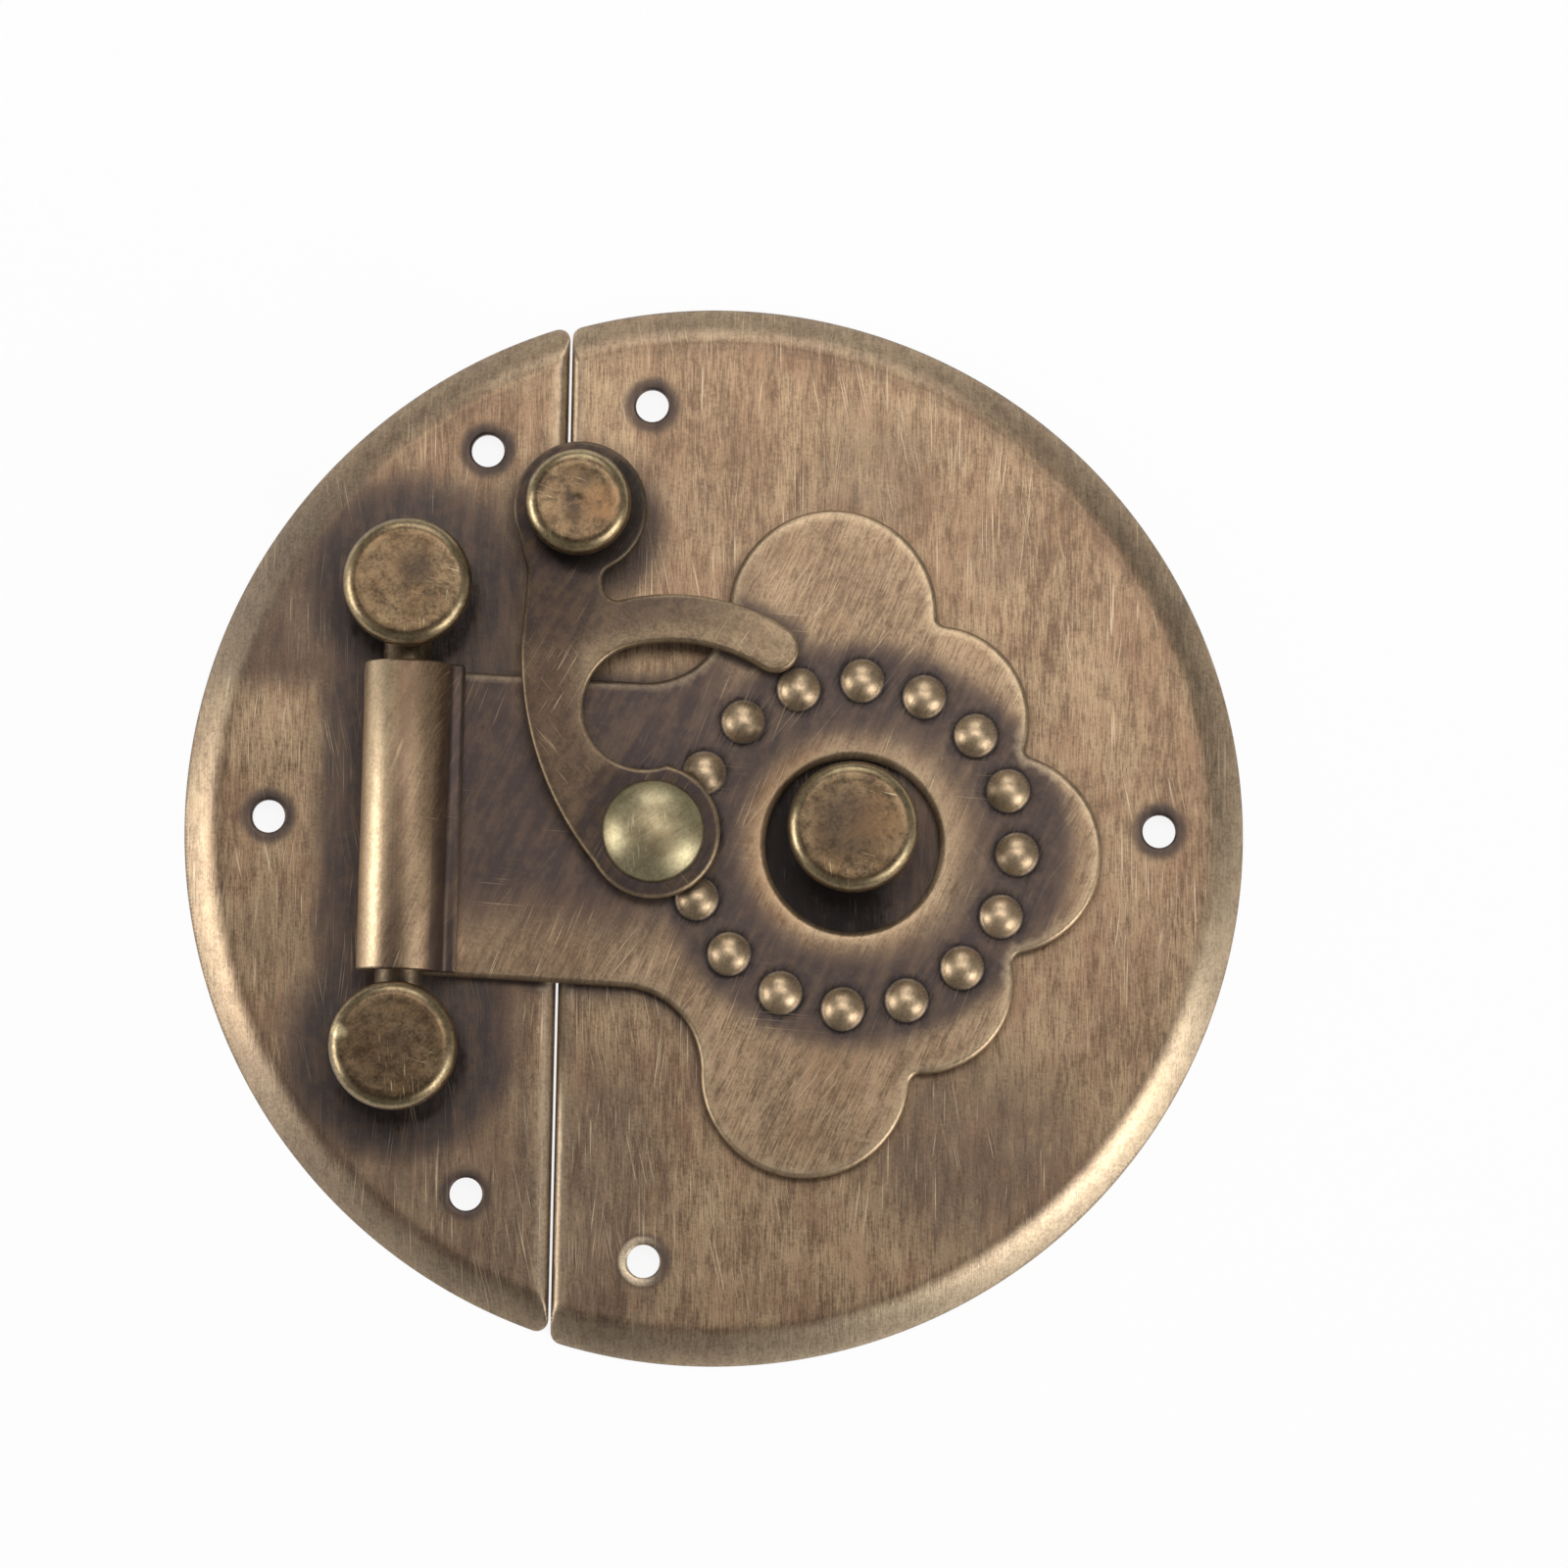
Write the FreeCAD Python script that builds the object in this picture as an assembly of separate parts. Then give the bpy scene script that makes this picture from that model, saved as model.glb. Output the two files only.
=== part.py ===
import FreeCAD, Part

import math
import os

# Round brass cupboard latch, millimetres.
# Origin: centre of the round plate on its back plane. +Z points out of the cupboard,
# +Y runs up along the seam between the two doors, +X points to the catch door.

# Base plates: a dished round plate cut in two along the seam
plate_r = 45.0            # outer radius of the round plate
plate_rise = 2.2          # height of the flat face above the back plane
plate_t = 0.9             # sheet thickness
rim_width = 3.3           # radial width of the rolled-down rim
seam_x = -12.95           # middle of the gap between the two plates
seam_gap = 0.24           # width of that gap
seam_roll = 1.0           # radius of the rolled edge along the seam
seam_roll_inside = 0.5    # and of the hollow behind that edge
hinge_plate_y = 0.4       # the hinge plate sits this much higher than the catch plate

# Nail holes: how far each lies in from the plates' edge
nail_r = 1.4
hinge_nail_depth = 7.1
hinge_side_nail_depth = 7.3
hinge_low_nail_depth = 8.1
catch_nail_depth = 8.1
catch_side_nail_depth = 7.2
catch_low_nail_depth = 8.4

# Hinge: two turned posts carry the pin, and the hasp's barrel turns on it
hinge_x = -26.0           # middle of the pin
hinge_y = 0.7
hinge_lean = 0.4          # degrees that the pin leans off the seam, as riveted
post_gap = 3.25           # bare pin between a post and the barrel
pin_r = 2.0
pin_inset = 0.4           # the pin ends this far inside the posts' outer sides
pin_play = 0.075          # radial play of the barrel on the pin
barrel_length = 26.0

# Hasp: one folded sheet with a scalloped end
hasp_t = 1.5              # sheet thickness
hasp_lift = 0.1           # running gap between the plates and the hasp
hasp_skew = 1.9           # degrees that the flap was folded off square
neck_inset = 0.1          # the neck is narrower than the barrel by this on each side
neck_drop = 0.2           # and sits this much lower
lap_length = 1.2          # free end of the fold, past the barrel's side
fold_gap = 0.06           # gap inside the closed fold
boss_x = 37.9             # from the pin to the middle of the scalloped end
hole_r = 7.35             # hole that drops over the stud
hole_edge = 0.5           # bevel of that hole's top edge
end_lobe_r = 8.83         # outer lobes
end_lobe_dip = 2.234      # how far they dip into the neck
end_lobe_setback = 2.827  # from the scalloped end's middle back to theirs
side_lobe_reach = 12.8    # lobes next to them: from the scalloped end's middle
side_lobe_angle = 60.0    # degrees off the flap's middle line
side_lobe_r = 7.9
nose_lobe_reach = 12.56   # lobe at the nose
nose_lobe_r = 8.54
root_fillet = 7.0         # where the neck runs into the outer lobes
lobe_fillet = 0.9         # between two lobes
hasp_edge = 0.35          # bevel of the hasp's top edges

# Beads: a ring of domes pressed up out of the hasp
bead_ring_r = 13.92
bead_count = 16
bead_r = 1.75
bead_height = 1.0
bead_crown_r = 1.2        # where the bead's flank turns into its crown
bead_flank = 0.7          # height of the flank
bead_wall = 0.7           # thickness left over the dimple behind a bead

# Hook lever, its rivet and the washer that lifts it over the beads
rivet_x = 21.1            # from the pin to the rivet
rivet_r = 2.0             # shank
rivet_play = 0.075        # radial play of the lever on the shank
rivet_head_r = 4.4
rivet_head_height = 2.0
rivet_tail = 0.6          # extra radius and depth of the countersunk tail
washer_r = 3.9
washer_over = 0.15        # how far the washer stands above the beads
lever_gap = 0.04          # running gap below and above the lever
lever_t = 1.2
lever_open = 103.9        # direction of the lever at rest, degrees from +X
eye_r = 5.65              # round eye at the rivet
pad_r = 5.65              # round pad under the knob
back_r = 27.68            # long curved back
back_width = 8.32         # from the eye's middle out to the back
back_step = 0.13          # the eye's edge stands this much proud of the back's curve
back_end = 161.8          # direction in which that curve ends, degrees from +X
arm_x = 1.8               # the arm's two arcs share this centre
arm_y = 1.3
arm_inner_r = 14.33
arm_width = 4.07
arm_end = 45.3            # degrees from +Y to the arm's round tip
recess_r = 5.25           # round end of the recess
recess_end = -1.0         # degrees from +Y to that round end
waist_right = 0.4         # right side of the waist between blade and pad
waist_height = 2.75       # between the arm and the pad
waist_turn = 4.3          # the waist's left side turns upright this far below the pad's middle
notch_fillet = 1.2        # in the notch between arm and pad
lever_edge = 0.35         # bevel of the lever's top edges

# Turned heads: posts, stud and knob share one form
stud_head_r = 5.5
post_head_r = 5.4
head_rise = 1.0           # height of the tapered underside
head_band = 0.9           # height of the straight side
head_round = 1.3          # rounding of the top edge
post_r = 3.2
post_over = 0.1           # post left above the pin, below its head
tail_r = 1.9              # shank that passes through a plate
tail_head_r = 2.6         # hammered end behind the plate
tail_end_r = 1.6          # its flattened face
tail_head_t = 0.8
stud_r = 2.5
stud_x = 11.9
stud_y = 0.4
stud_over = 0.2           # gap between the lever and the stud's head
knob_head_r = 4.45
knob_neck_r = 2.7
knob_foot_r = 3.9
knob_foot_t = 0.8
knob_neck_height = 1.4
knob_shank_r = 1.5
knob_tail = 0.5           # extra radius and depth of its countersunk tail

UP = FreeCAD.Vector(0, 0, 1)
TINY = 1e-4               # edges nearer than this to a plane or line lie on it

# Heights that follow from the sizes above
hasp_z = plate_rise + hasp_lift
hasp_top = hasp_z + hasp_t
bore_r = pin_r + pin_play
barrel_r = bore_r + hasp_t
post_spacing = barrel_length + 2 * (post_gap + post_r)
neck_above = barrel_length / 2 - neck_inset - neck_drop
neck_below = barrel_length / 2 - neck_inset + neck_drop
pin_z = hasp_z + barrel_r
washer_t = bead_height + washer_over
lever_z = hasp_top + washer_t + lever_gap
lever_top = lever_z + lever_t

# Places that follow from them
hinge_nails = [
    (plate_r - hinge_nail_depth, 121.5),
    (plate_r - hinge_side_nail_depth, 178.8),
    (plate_r - hinge_low_nail_depth, 236.8),
]
catch_nails = [
    (plate_r - catch_nail_depth, 99.2),
    (plate_r - catch_side_nail_depth, 1.4),
    (plate_r - catch_low_nail_depth, 262.0),
]
end_lobe_y = barrel_length / 2 - neck_inset + end_lobe_r - end_lobe_dip
arm_outer_r = arm_inner_r + arm_width
pad_reach = arm_y + arm_outer_r + waist_height + pad_r
waist_y = pad_reach - waist_turn
back_x = back_r - back_width
back_y = math.sqrt((back_r - eye_r + back_step) ** 2 - back_x ** 2)


def vec(x, y, z=0.0):
    return FreeCAD.Vector(x, y, z)


def polar(radius, degrees):
    angle = math.radians(degrees)
    return radius * math.cos(angle), radius * math.sin(angle)


def cylinder(radius, height, x, y, z):
    return Part.makeCylinder(radius, height, vec(x, y, z), UP)


def turned(profile, x, y):
    """Solid of revolution about a vertical axis, from (radius, height) points and arcs."""
    edges = []
    here = profile[0]
    for step in profile[1:] + [profile[0]]:
        start = vec(here[0], 0, here[1])
        end = vec(step[0], 0, step[1])
        if len(step) == 4:
            edges.append(Part.Arc(start, vec(step[2], 0, step[3]), end).toShape())
        else:
            edges.append(Part.makeLine(start, end))
        here = step
    solid = Part.Face(Part.Wire(edges)).revolve(vec(0, 0), UP, 360)
    solid.translate(vec(x, y))
    return solid


def head_profile(neck, radius, base):
    """Tapered underside, straight band, rounded edge and flat top of a turned head."""
    side = base + head_rise + head_band
    top = side + head_round
    inner = radius - head_round
    corner = head_round * math.sqrt(0.5)
    return [
        (neck, base),
        (radius, base + head_rise),
        (radius, side),
        (inner, top, inner + corner, side + corner),
        (0, top),
    ]


def round_edges(solid, radius, wanted):
    """Round those edges of the solid that the test picks out."""
    edges = [edge for edge in solid.Edges if wanted(edge)]
    return solid.makeFillet(radius, edges)


def bevel_edges(solid, width, wanted):
    """Bevel those edges of the solid that the test picks out."""
    edges = [edge for edge in solid.Edges if wanted(edge)]
    return solid.makeChamfer(width, edges)


def at_height(z):
    """Test for edges that lie flat at one height."""
    def wanted(edge):
        box = edge.BoundBox
        return abs(box.ZMin - z) < TINY and abs(box.ZMax - z) < TINY
    return wanted


def upright_near(places, reach):
    """Test for straight upright edges that stand near one of the places."""
    def wanted(edge):
        box = edge.BoundBox
        if box.XLength > TINY or box.YLength > TINY:
            return False
        return any(math.hypot(box.XMin - x, box.YMin - y) < reach for x, y in places)
    return wanted


# Base plates

def dish():
    """Round dished form of the plates: flat face and rolled-down rim."""
    flat_r = plate_r - rim_width
    bend = (rim_width ** 2 + plate_rise ** 2) / (2 * plate_rise)
    half = math.asin(rim_width / bend) / 2
    middle = (flat_r + bend * math.sin(half), plate_rise - bend * (1 - math.cos(half)))
    return turned([(0, plate_rise), (flat_r, plate_rise), (plate_r, 0) + middle, (0, 0)], 0, 0)


def dish_hollow():
    """The space behind the sheet, one wall thickness inside the dished form."""
    rise = plate_rise - plate_t
    flat_r = plate_r - rim_width
    return turned([(0, rise), (flat_r, rise), (plate_r - plate_t, 0), (0, 0)], 0, 0)


def plate_side(form, side, edge, roll):
    """The part of a dished form on one side of an upright plane, with its edge rolled over."""
    reach = 2 * plate_r
    low = edge if side > 0 else edge - reach
    block = Part.makeBox(reach, reach, reach, vec(low, -plate_r, -plate_r))
    solid = form.common(block).Solids[0]

    def on_seam(item):
        box = item.BoundBox
        return abs(box.XMin - edge) < TINY and box.XLength < TINY and box.ZMax > TINY

    return round_edges(solid, roll, on_seam)


def plate(side, nails, posts):
    """One plate: dished shell with rolled seam edge, nail holes and riveting holes."""
    edge = seam_x + side * seam_gap / 2
    shell = plate_side(dish(), side, edge, seam_roll)
    hollow = plate_side(dish_hollow(), side, edge + side * plate_t, seam_roll_inside)
    shell = shell.cut(hollow)
    if side < 0:
        shell.translate(vec(0, hinge_plate_y))
    for reach, angle in nails:
        x, y = polar(reach, angle)
        shell = shell.cut(cylinder(nail_r, plate_rise, x, y, 0))
    for x, y in posts:
        shell = shell.cut(cylinder(tail_r, plate_rise, x, y, 0))
    return shell.Solids[0]


# Hinge

def to_hinge(shape):
    """Carry a shape from the hinge's own frame to its place on the plate."""
    shape.rotate(vec(0, 0), UP, -hinge_lean)
    shape.translate(vec(hinge_x, hinge_y))
    return shape


def post_places():
    places = []
    for side in (1, -1):
        x, y = polar(side * post_spacing / 2, 90 - hinge_lean)
        places.append((hinge_x + x, hinge_y + y))
    return places


def riveted_tail(shoulder):
    """Shank through the plate and the end hammered over behind it, up to the shoulder."""
    back = plate_rise - plate_t
    return [
        (0, back - tail_head_t),
        (tail_end_r, back - tail_head_t),
        (tail_head_r, back),
        (tail_r, back),
        (tail_r, plate_rise),
        (shoulder, plate_rise),
    ]


def hinge_post(x, y):
    under = pin_z + pin_r + post_over
    post = turned(riveted_tail(post_r) + head_profile(post_r, post_head_r, under), x, y)
    return post.cut(pin_solid()).Solids[0]


def pin_solid():
    """The pin spans both posts and ends a little inside their outer sides."""
    length = post_spacing + 2 * (post_r - pin_inset)
    pin = Part.makeCylinder(pin_r, length, vec(0, -length / 2, pin_z), vec(0, 1, 0))
    return to_hinge(pin)


# Hasp, in a frame with its origin below the pin and +X along its neck

def lobe_places():
    """Centre and radius of the five lobes."""
    lobes = [(boss_x + nose_lobe_reach, 0, nose_lobe_r)]
    for side in (1, -1):
        lobes.append((boss_x - end_lobe_setback, side * end_lobe_y, end_lobe_r))
        x, y = polar(side_lobe_reach, side * side_lobe_angle)
        lobes.append((boss_x + x, y, side_lobe_r))
    return lobes


def lobe_disc(x, y, radius):
    """Disc of one lobe, with its seam edge turned to the scalloped end's middle."""
    disc = cylinder(radius, hasp_t, x, y, hasp_z)
    disc.rotate(vec(x, y), UP, math.degrees(math.atan2(-y, boss_x - x)))
    return disc


def root_place(y):
    """Where an edge of the neck meets the outer lobe."""
    rise = end_lobe_y - abs(y)
    return boss_x - end_lobe_setback - math.sqrt(end_lobe_r ** 2 - rise ** 2), y


def hasp_flap():
    """Flat part: neck and scalloped end, with filleted corners and rounded edges."""
    start = -barrel_r
    neck_corner = vec(start, -neck_below, hasp_z)
    neck = Part.makeBox(boss_x - start, neck_above + neck_below, hasp_t, neck_corner)
    lobes = [lobe_disc(*place) for place in lobe_places()]
    boss = cylinder(bead_ring_r - bead_r, hasp_t, boss_x, 0, hasp_z)
    flap = neck.multiFuse(lobes + [boss]).removeSplitter()
    roots = [root_place(neck_above), root_place(-neck_below)]
    flap = round_edges(flap, root_fillet, upright_near(roots, lobe_fillet))

    def between_lobes(edge):
        box = edge.BoundBox
        upright = box.XLength < TINY and box.YLength < TINY
        return upright and box.XMin > boss_x - end_lobe_setback

    flap = round_edges(flap, lobe_fillet, between_lobes)
    flap = bevel_edges(flap, hasp_edge, at_height(hasp_top))
    flap = flap.cut(cylinder(hole_r, hasp_t, boss_x, 0, hasp_z))
    middle = vec(boss_x, 0, hasp_top)

    def round_hole(edge):
        return at_height(hasp_top)(edge) and edge.BoundBox.Center.distanceToPoint(middle) < TINY

    return bevel_edges(flap, hole_edge, round_hole)


def barrel():
    """Rolled end of the sheet: under the pin, round it and down onto the neck again."""
    lap_top = hasp_top + fold_gap + hasp_t
    lap_x = barrel_r + lap_length
    half = barrel_length / 2
    low = pin_z - barrel_r
    round_part = Part.makeCylinder(barrel_r, barrel_length, vec(0, -half, pin_z), vec(0, 1, 0))
    lap = Part.makeBox(lap_x, barrel_length, lap_top - low, vec(0, -half, low))
    roll = round_part.fuse(lap).removeSplitter()

    def lap_edge(edge):
        return at_height(lap_top)(edge) and abs(edge.BoundBox.XMin - lap_x) < TINY

    roll = bevel_edges(roll, hasp_edge, lap_edge)
    bore = Part.makeCylinder(bore_r, barrel_length, vec(0, -half, pin_z), vec(0, 1, 0))
    slit = Part.makeBox(lap_x, barrel_length, fold_gap, vec(0, -half, hasp_top))
    return roll.cut(bore).cut(slit).Solids[0]


def bead_places():
    """Places of the pressed beads, without the one that the washer covers."""
    places = []
    for index in range(bead_count):
        x, y = polar(bead_ring_r, 360 * index / bead_count)
        if math.hypot(boss_x + x - rivet_x, y) > washer_r + bead_r:
            places.append((boss_x + x, y))
    return places


def bead(x, y):
    """Raised bead: a steep flank and a low crown."""
    flank_top = hasp_top + bead_flank
    profile = [
        (0, hasp_top),
        (bead_r, hasp_top),
        (bead_crown_r, flank_top),
        (0, hasp_top + bead_height),
    ]
    return turned(profile, x, y)


def dimple(x, y):
    """The punch mark behind a bead."""
    depth = hasp_t + bead_flank - bead_wall
    return cylinder(bead_crown_r, depth, x, y, hasp_z)


def hasp_solid():
    flap = hasp_flap()
    clear = Part.makeBox(2 * barrel_r, 2 * plate_r, hasp_t, vec(-2 * barrel_r, -plate_r, hasp_z))
    solid = flap.cut(clear)
    solid.rotate(vec(0, 0), UP, -hasp_skew)
    solid = solid.fuse(barrel())
    for x, y in bead_places():
        raised = bead(x, y)
        hollow = dimple(x, y)
        raised.rotate(vec(0, 0), UP, -hasp_skew)
        hollow.rotate(vec(0, 0), UP, -hasp_skew)
        solid = solid.fuse(raised).cut(hollow)
    return solid


def on_hasp(x, y):
    """A place in the flap's frame, given in the latch's frame."""
    radius = math.hypot(x, y)
    angle = math.degrees(math.atan2(y, x)) - hasp_skew - hinge_lean
    turned_x, turned_y = polar(radius, angle)
    return hinge_x + turned_x, hinge_y + turned_y


def hasp():
    solid = to_hinge(hasp_solid())
    return solid.cut(rivet_shank()).Solids[0]


# Rivet and washer

def rivet_profile():
    """Shank with a countersunk tail that ends flush with the hasp's underside."""
    return [
        (0, hasp_z),
        (rivet_r + rivet_tail, hasp_z),
        (rivet_r, hasp_z + rivet_tail),
    ]


def rivet_shank():
    x, y = on_hasp(rivet_x, 0)
    return turned(rivet_profile() + [(rivet_r, lever_top), (0, lever_top)], x, y)


def pivot_rivet():
    x, y = on_hasp(rivet_x, 0)
    under = lever_top + lever_gap
    ball_r = (rivet_head_r ** 2 + rivet_head_height ** 2) / (2 * rivet_head_height)
    half = math.asin(rivet_head_r / ball_r) / 2
    middle = (ball_r * math.sin(half), under + rivet_head_height - ball_r * (1 - math.cos(half)))
    dome = [
        (rivet_r, under),
        (rivet_head_r, under),
        (0, under + rivet_head_height) + middle,
    ]
    return turned(rivet_profile() + dome, x, y)


def pivot_washer():
    x, y = on_hasp(rivet_x, 0)
    ring = cylinder(washer_r, washer_t, x, y, hasp_top)
    return ring.cut(cylinder(rivet_r, washer_t, x, y, hasp_top)).Solids[0]


# Hook lever, in a frame with its origin at the rivet and +Y towards the pad

def arm_point(radius, angle):
    """A point about the arm's centre, angle from +Y clockwise."""
    x, y = polar(radius, 90 - angle)
    return arm_x + x, arm_y + y


def sector(radius, start, end):
    """A round slice about the arm's centre."""
    centre = vec(arm_x, arm_y, lever_z)
    first = vec(*arm_point(radius, start), lever_z)
    middle = vec(*arm_point(radius, (start + end) / 2), lever_z)
    last = vec(*arm_point(radius, end), lever_z)
    edges = [
        Part.makeLine(centre, first),
        Part.Arc(first, middle, last).toShape(),
        Part.makeLine(last, centre),
    ]
    return Part.Face(Part.Wire(edges)).extrude(vec(0, 0, lever_t))


def slab(radius, x, y):
    return cylinder(radius, lever_t, x, y, lever_z)


def waist():
    """Joins the blade to the pad: the back's arc, then a line that leaves it smoothly."""
    leave_x, leave_y = polar(back_r, back_end)
    leave_x += back_x
    leave_y += back_y
    waist_left = leave_x + (waist_y - leave_y) * math.tan(math.radians(180 - back_end))
    width = 2 * (waist_right - leave_x)
    lower = Part.makeBox(width, leave_y - arm_y, lever_t, vec(waist_right - width, arm_y, lever_z))
    lower = lower.common(slab(back_r, back_x, back_y))
    corners = [
        vec(leave_x, leave_y, lever_z),
        vec(waist_left, waist_y, lever_z),
        vec(waist_left, pad_reach, lever_z),
        vec(waist_right, pad_reach, lever_z),
        vec(waist_right, leave_y, lever_z),
    ]
    upper = Part.Face(Part.makePolygon(corners + corners[:1])).extrude(vec(0, 0, lever_t))
    return lower.fuse(upper)


def back_start():
    """Direction about the arm's centre in which the back's curve meets the eye."""
    reach = eye_r / math.hypot(back_x, back_y)
    x = -reach * back_x - arm_x
    y = -reach * back_y - arm_y
    return 90 - math.degrees(math.atan2(y, x)) % 360


def lever_outline():
    """Blade, arm with round tip, waist, eye and pad, still with sharp edges."""
    blade = sector(arm_outer_r, back_start(), arm_end).common(slab(back_r, back_x, back_y))
    blade = blade.multiFuse([waist(), slab(pad_r, 0, pad_reach)])
    blade = blade.cut(sector(arm_inner_r, recess_end, arm_end + 1))
    blade = blade.fuse(slab(eye_r, 0, 0))
    blade = blade.cut(slab(recess_r, *arm_point(arm_inner_r - recess_r, recess_end)))
    tip = slab(arm_width / 2, *arm_point(arm_inner_r + arm_width / 2, arm_end))
    return blade.fuse(tip).removeSplitter().Solids[0]


def lever_solid():
    solid = lever_outline()
    notch_y = arm_y + math.sqrt(arm_outer_r ** 2 - (waist_right - arm_x) ** 2)
    notch = [(waist_right, pad_reach - pad_r), (waist_right, notch_y)]
    solid = round_edges(solid, notch_fillet, upright_near(notch, notch_fillet))
    solid = bevel_edges(solid, lever_edge, at_height(lever_top))
    eye_bore_r = rivet_r + rivet_play
    return solid.cut(cylinder(eye_bore_r, lever_t, 0, 0, lever_z))


def to_rivet(shape):
    """Carry a shape from the lever's frame to the rivet, at the lever's rest angle."""
    x, y = on_hasp(rivet_x, 0)
    shape.rotate(vec(0, 0), UP, lever_open - 90)
    shape.translate(vec(x, y))
    return shape


def knob_solid():
    """Turned knob with a foot, a waist, the common head and a countersunk tail."""
    foot_top = lever_top + knob_foot_t
    under = foot_top + knob_neck_height
    profile = [
        (0, lever_z),
        (knob_shank_r + knob_tail, lever_z),
        (knob_shank_r, lever_z + knob_tail),
        (knob_shank_r, lever_top),
        (knob_foot_r, lever_top),
        (knob_foot_r, foot_top),
        (knob_neck_r, foot_top),
    ]
    return turned(profile + head_profile(knob_neck_r, knob_head_r, under), 0, pad_reach)


def hook_lever():
    return to_rivet(lever_solid().cut(knob_solid())).Solids[0]


def pull_knob():
    return to_rivet(knob_solid())


def catch_stud():
    under = lever_top + stud_over
    profile = riveted_tail(stud_r) + head_profile(stud_r, stud_head_r, under)
    return turned(profile, stud_x, stud_y)


def build():
    upper, lower = post_places()
    return {
        "hinge_plate": plate(-1, hinge_nails, [upper, lower]),
        "catch_plate": plate(1, catch_nails, [(stud_x, stud_y)]),
        "upper_hinge_post": hinge_post(*upper),
        "lower_hinge_post": hinge_post(*lower),
        "hinge_pin": pin_solid(),
        "catch_stud": catch_stud(),
        "hasp": hasp(),
        "pivot_rivet": pivot_rivet(),
        "pivot_washer": pivot_washer(),
        "hook_lever": hook_lever(),
        "pull_knob": pull_knob(),
    }


os.makedirs("parts", exist_ok=True)
for name, shape in build().items():
    shape.exportStep("parts/" + name + ".step")
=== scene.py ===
import math

import bmesh
import bpy
import numpy as np
from mathutils import Matrix, Vector
from mathutils.geometry import delaunay_2d_cdt


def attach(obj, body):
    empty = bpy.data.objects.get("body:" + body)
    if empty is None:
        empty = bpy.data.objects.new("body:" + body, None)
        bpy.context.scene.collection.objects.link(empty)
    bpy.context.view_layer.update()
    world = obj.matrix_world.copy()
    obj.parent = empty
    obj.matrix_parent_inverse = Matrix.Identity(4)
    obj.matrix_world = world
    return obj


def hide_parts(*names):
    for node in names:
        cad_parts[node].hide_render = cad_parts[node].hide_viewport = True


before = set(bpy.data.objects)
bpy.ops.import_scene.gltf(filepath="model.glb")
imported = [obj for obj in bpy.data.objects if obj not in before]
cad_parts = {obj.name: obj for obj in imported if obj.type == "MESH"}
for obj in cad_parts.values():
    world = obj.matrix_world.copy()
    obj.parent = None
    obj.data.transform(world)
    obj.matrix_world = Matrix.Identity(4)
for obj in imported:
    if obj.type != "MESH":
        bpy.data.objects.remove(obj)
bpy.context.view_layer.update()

# Round brass cupboard latch. Sizes are in millimetres and become metres in each mesh.
MM = 0.001

# Base plates
plate_r = 45.0            # outer radius of the round plate
plate_rise = 2.2          # height of its flat face
plate_t = 0.9             # sheet thickness
rim_width = 3.3           # radial width of the rolled-down rim
rim_bend = 1.6            # how evenly it bends: 1 would be a plain cone
seam_x = -12.95           # middle of the gap between the plates
seam_gap = 0.24
seam_roll = 1.0           # rolled edge along the seam
seam_roll_inside = 0.5
corner_r = 1.0            # plates' corners at the seam
hinge_plate_y = 0.4       # the hinge plate sits this much higher
nail_r = 1.4
hinge_nails = [(7.1, 121.5), (7.3, 178.8), (8.1, 236.8)]   # in from the edge, direction
catch_nails = [(8.1, 99.2), (7.2, 1.4), (8.4, 262.0)]

# Hinge
hinge_x = -26.0
hinge_y = 0.7
hinge_lean = 0.4          # degrees off the seam
post_r = 3.2
post_gap = 3.25           # bare pin between a post and the barrel
pin_r = 2.0
pin_play = 0.075
pin_inset = 0.4
barrel_length = 26.0

# Hasp
hasp_t = 1.5
hasp_lift = 0.1
hasp_skew = 1.9           # degrees that the flap is folded off square
neck_inset = 0.1
neck_drop = 0.2
lap_length = 1.2
fold_gap = 0.06
boss_x = 37.9             # from the pin to the middle of the scalloped end
hole_r = 7.35
end_lobe = (19.7, 98.25, 8.83)      # distance, direction and radius of the lobes
side_lobe = (12.8, 60.0, 7.9)
nose_lobe = (12.56, 0.0, 8.54)
root_fillet = 7.0
lobe_fillet = 0.9
bead_ring_r = 13.92
bead_count = 16
bead_r = 1.75
bead_height = 1.0

# Hook lever, rivet and washer
rivet_x = 21.1
rivet_r = 2.0
rivet_head_r = 4.4
rivet_head_height = 2.0
rivet_tail = 0.6
rivet_play = 0.075
washer_r = 3.9
washer_t = 1.15
lever_gap = 0.04
lever_t = 1.2
lever_open = 103.9
eye_r = 5.65
pad_r = 5.65
back = (19.36, 10.79, 27.68)        # long curved back: centre and radius
arm = (1.8, 1.3)                    # centre of the arm's two arcs
arm_inner_r = 14.33
arm_outer_r = 18.4
arm_end = 45.3
recess_r = 5.25
recess_end = -1.0
waist_left = -5.5
waist_right = 0.4
waist_height = 2.75
waist_turn = 4.3
notch_fillet = 1.2

# Turned heads
stud_head_r = 5.5
post_head_r = 5.4
head_rise = 1.0
head_band = 0.9
head_round = 1.3
post_over = 0.1
tail_r = 1.9
tail_head_r = 2.6
tail_end_r = 1.6
tail_head_t = 0.8
stud_r = 2.5
stud_x = 11.9
stud_y = 0.4
stud_over = 0.2
knob_head_r = 4.45
knob_neck_r = 2.7
knob_foot_r = 3.9
knob_foot_t = 0.8
knob_neck_height = 1.4
knob_shank_r = 1.5
knob_tail = 0.5

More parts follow.
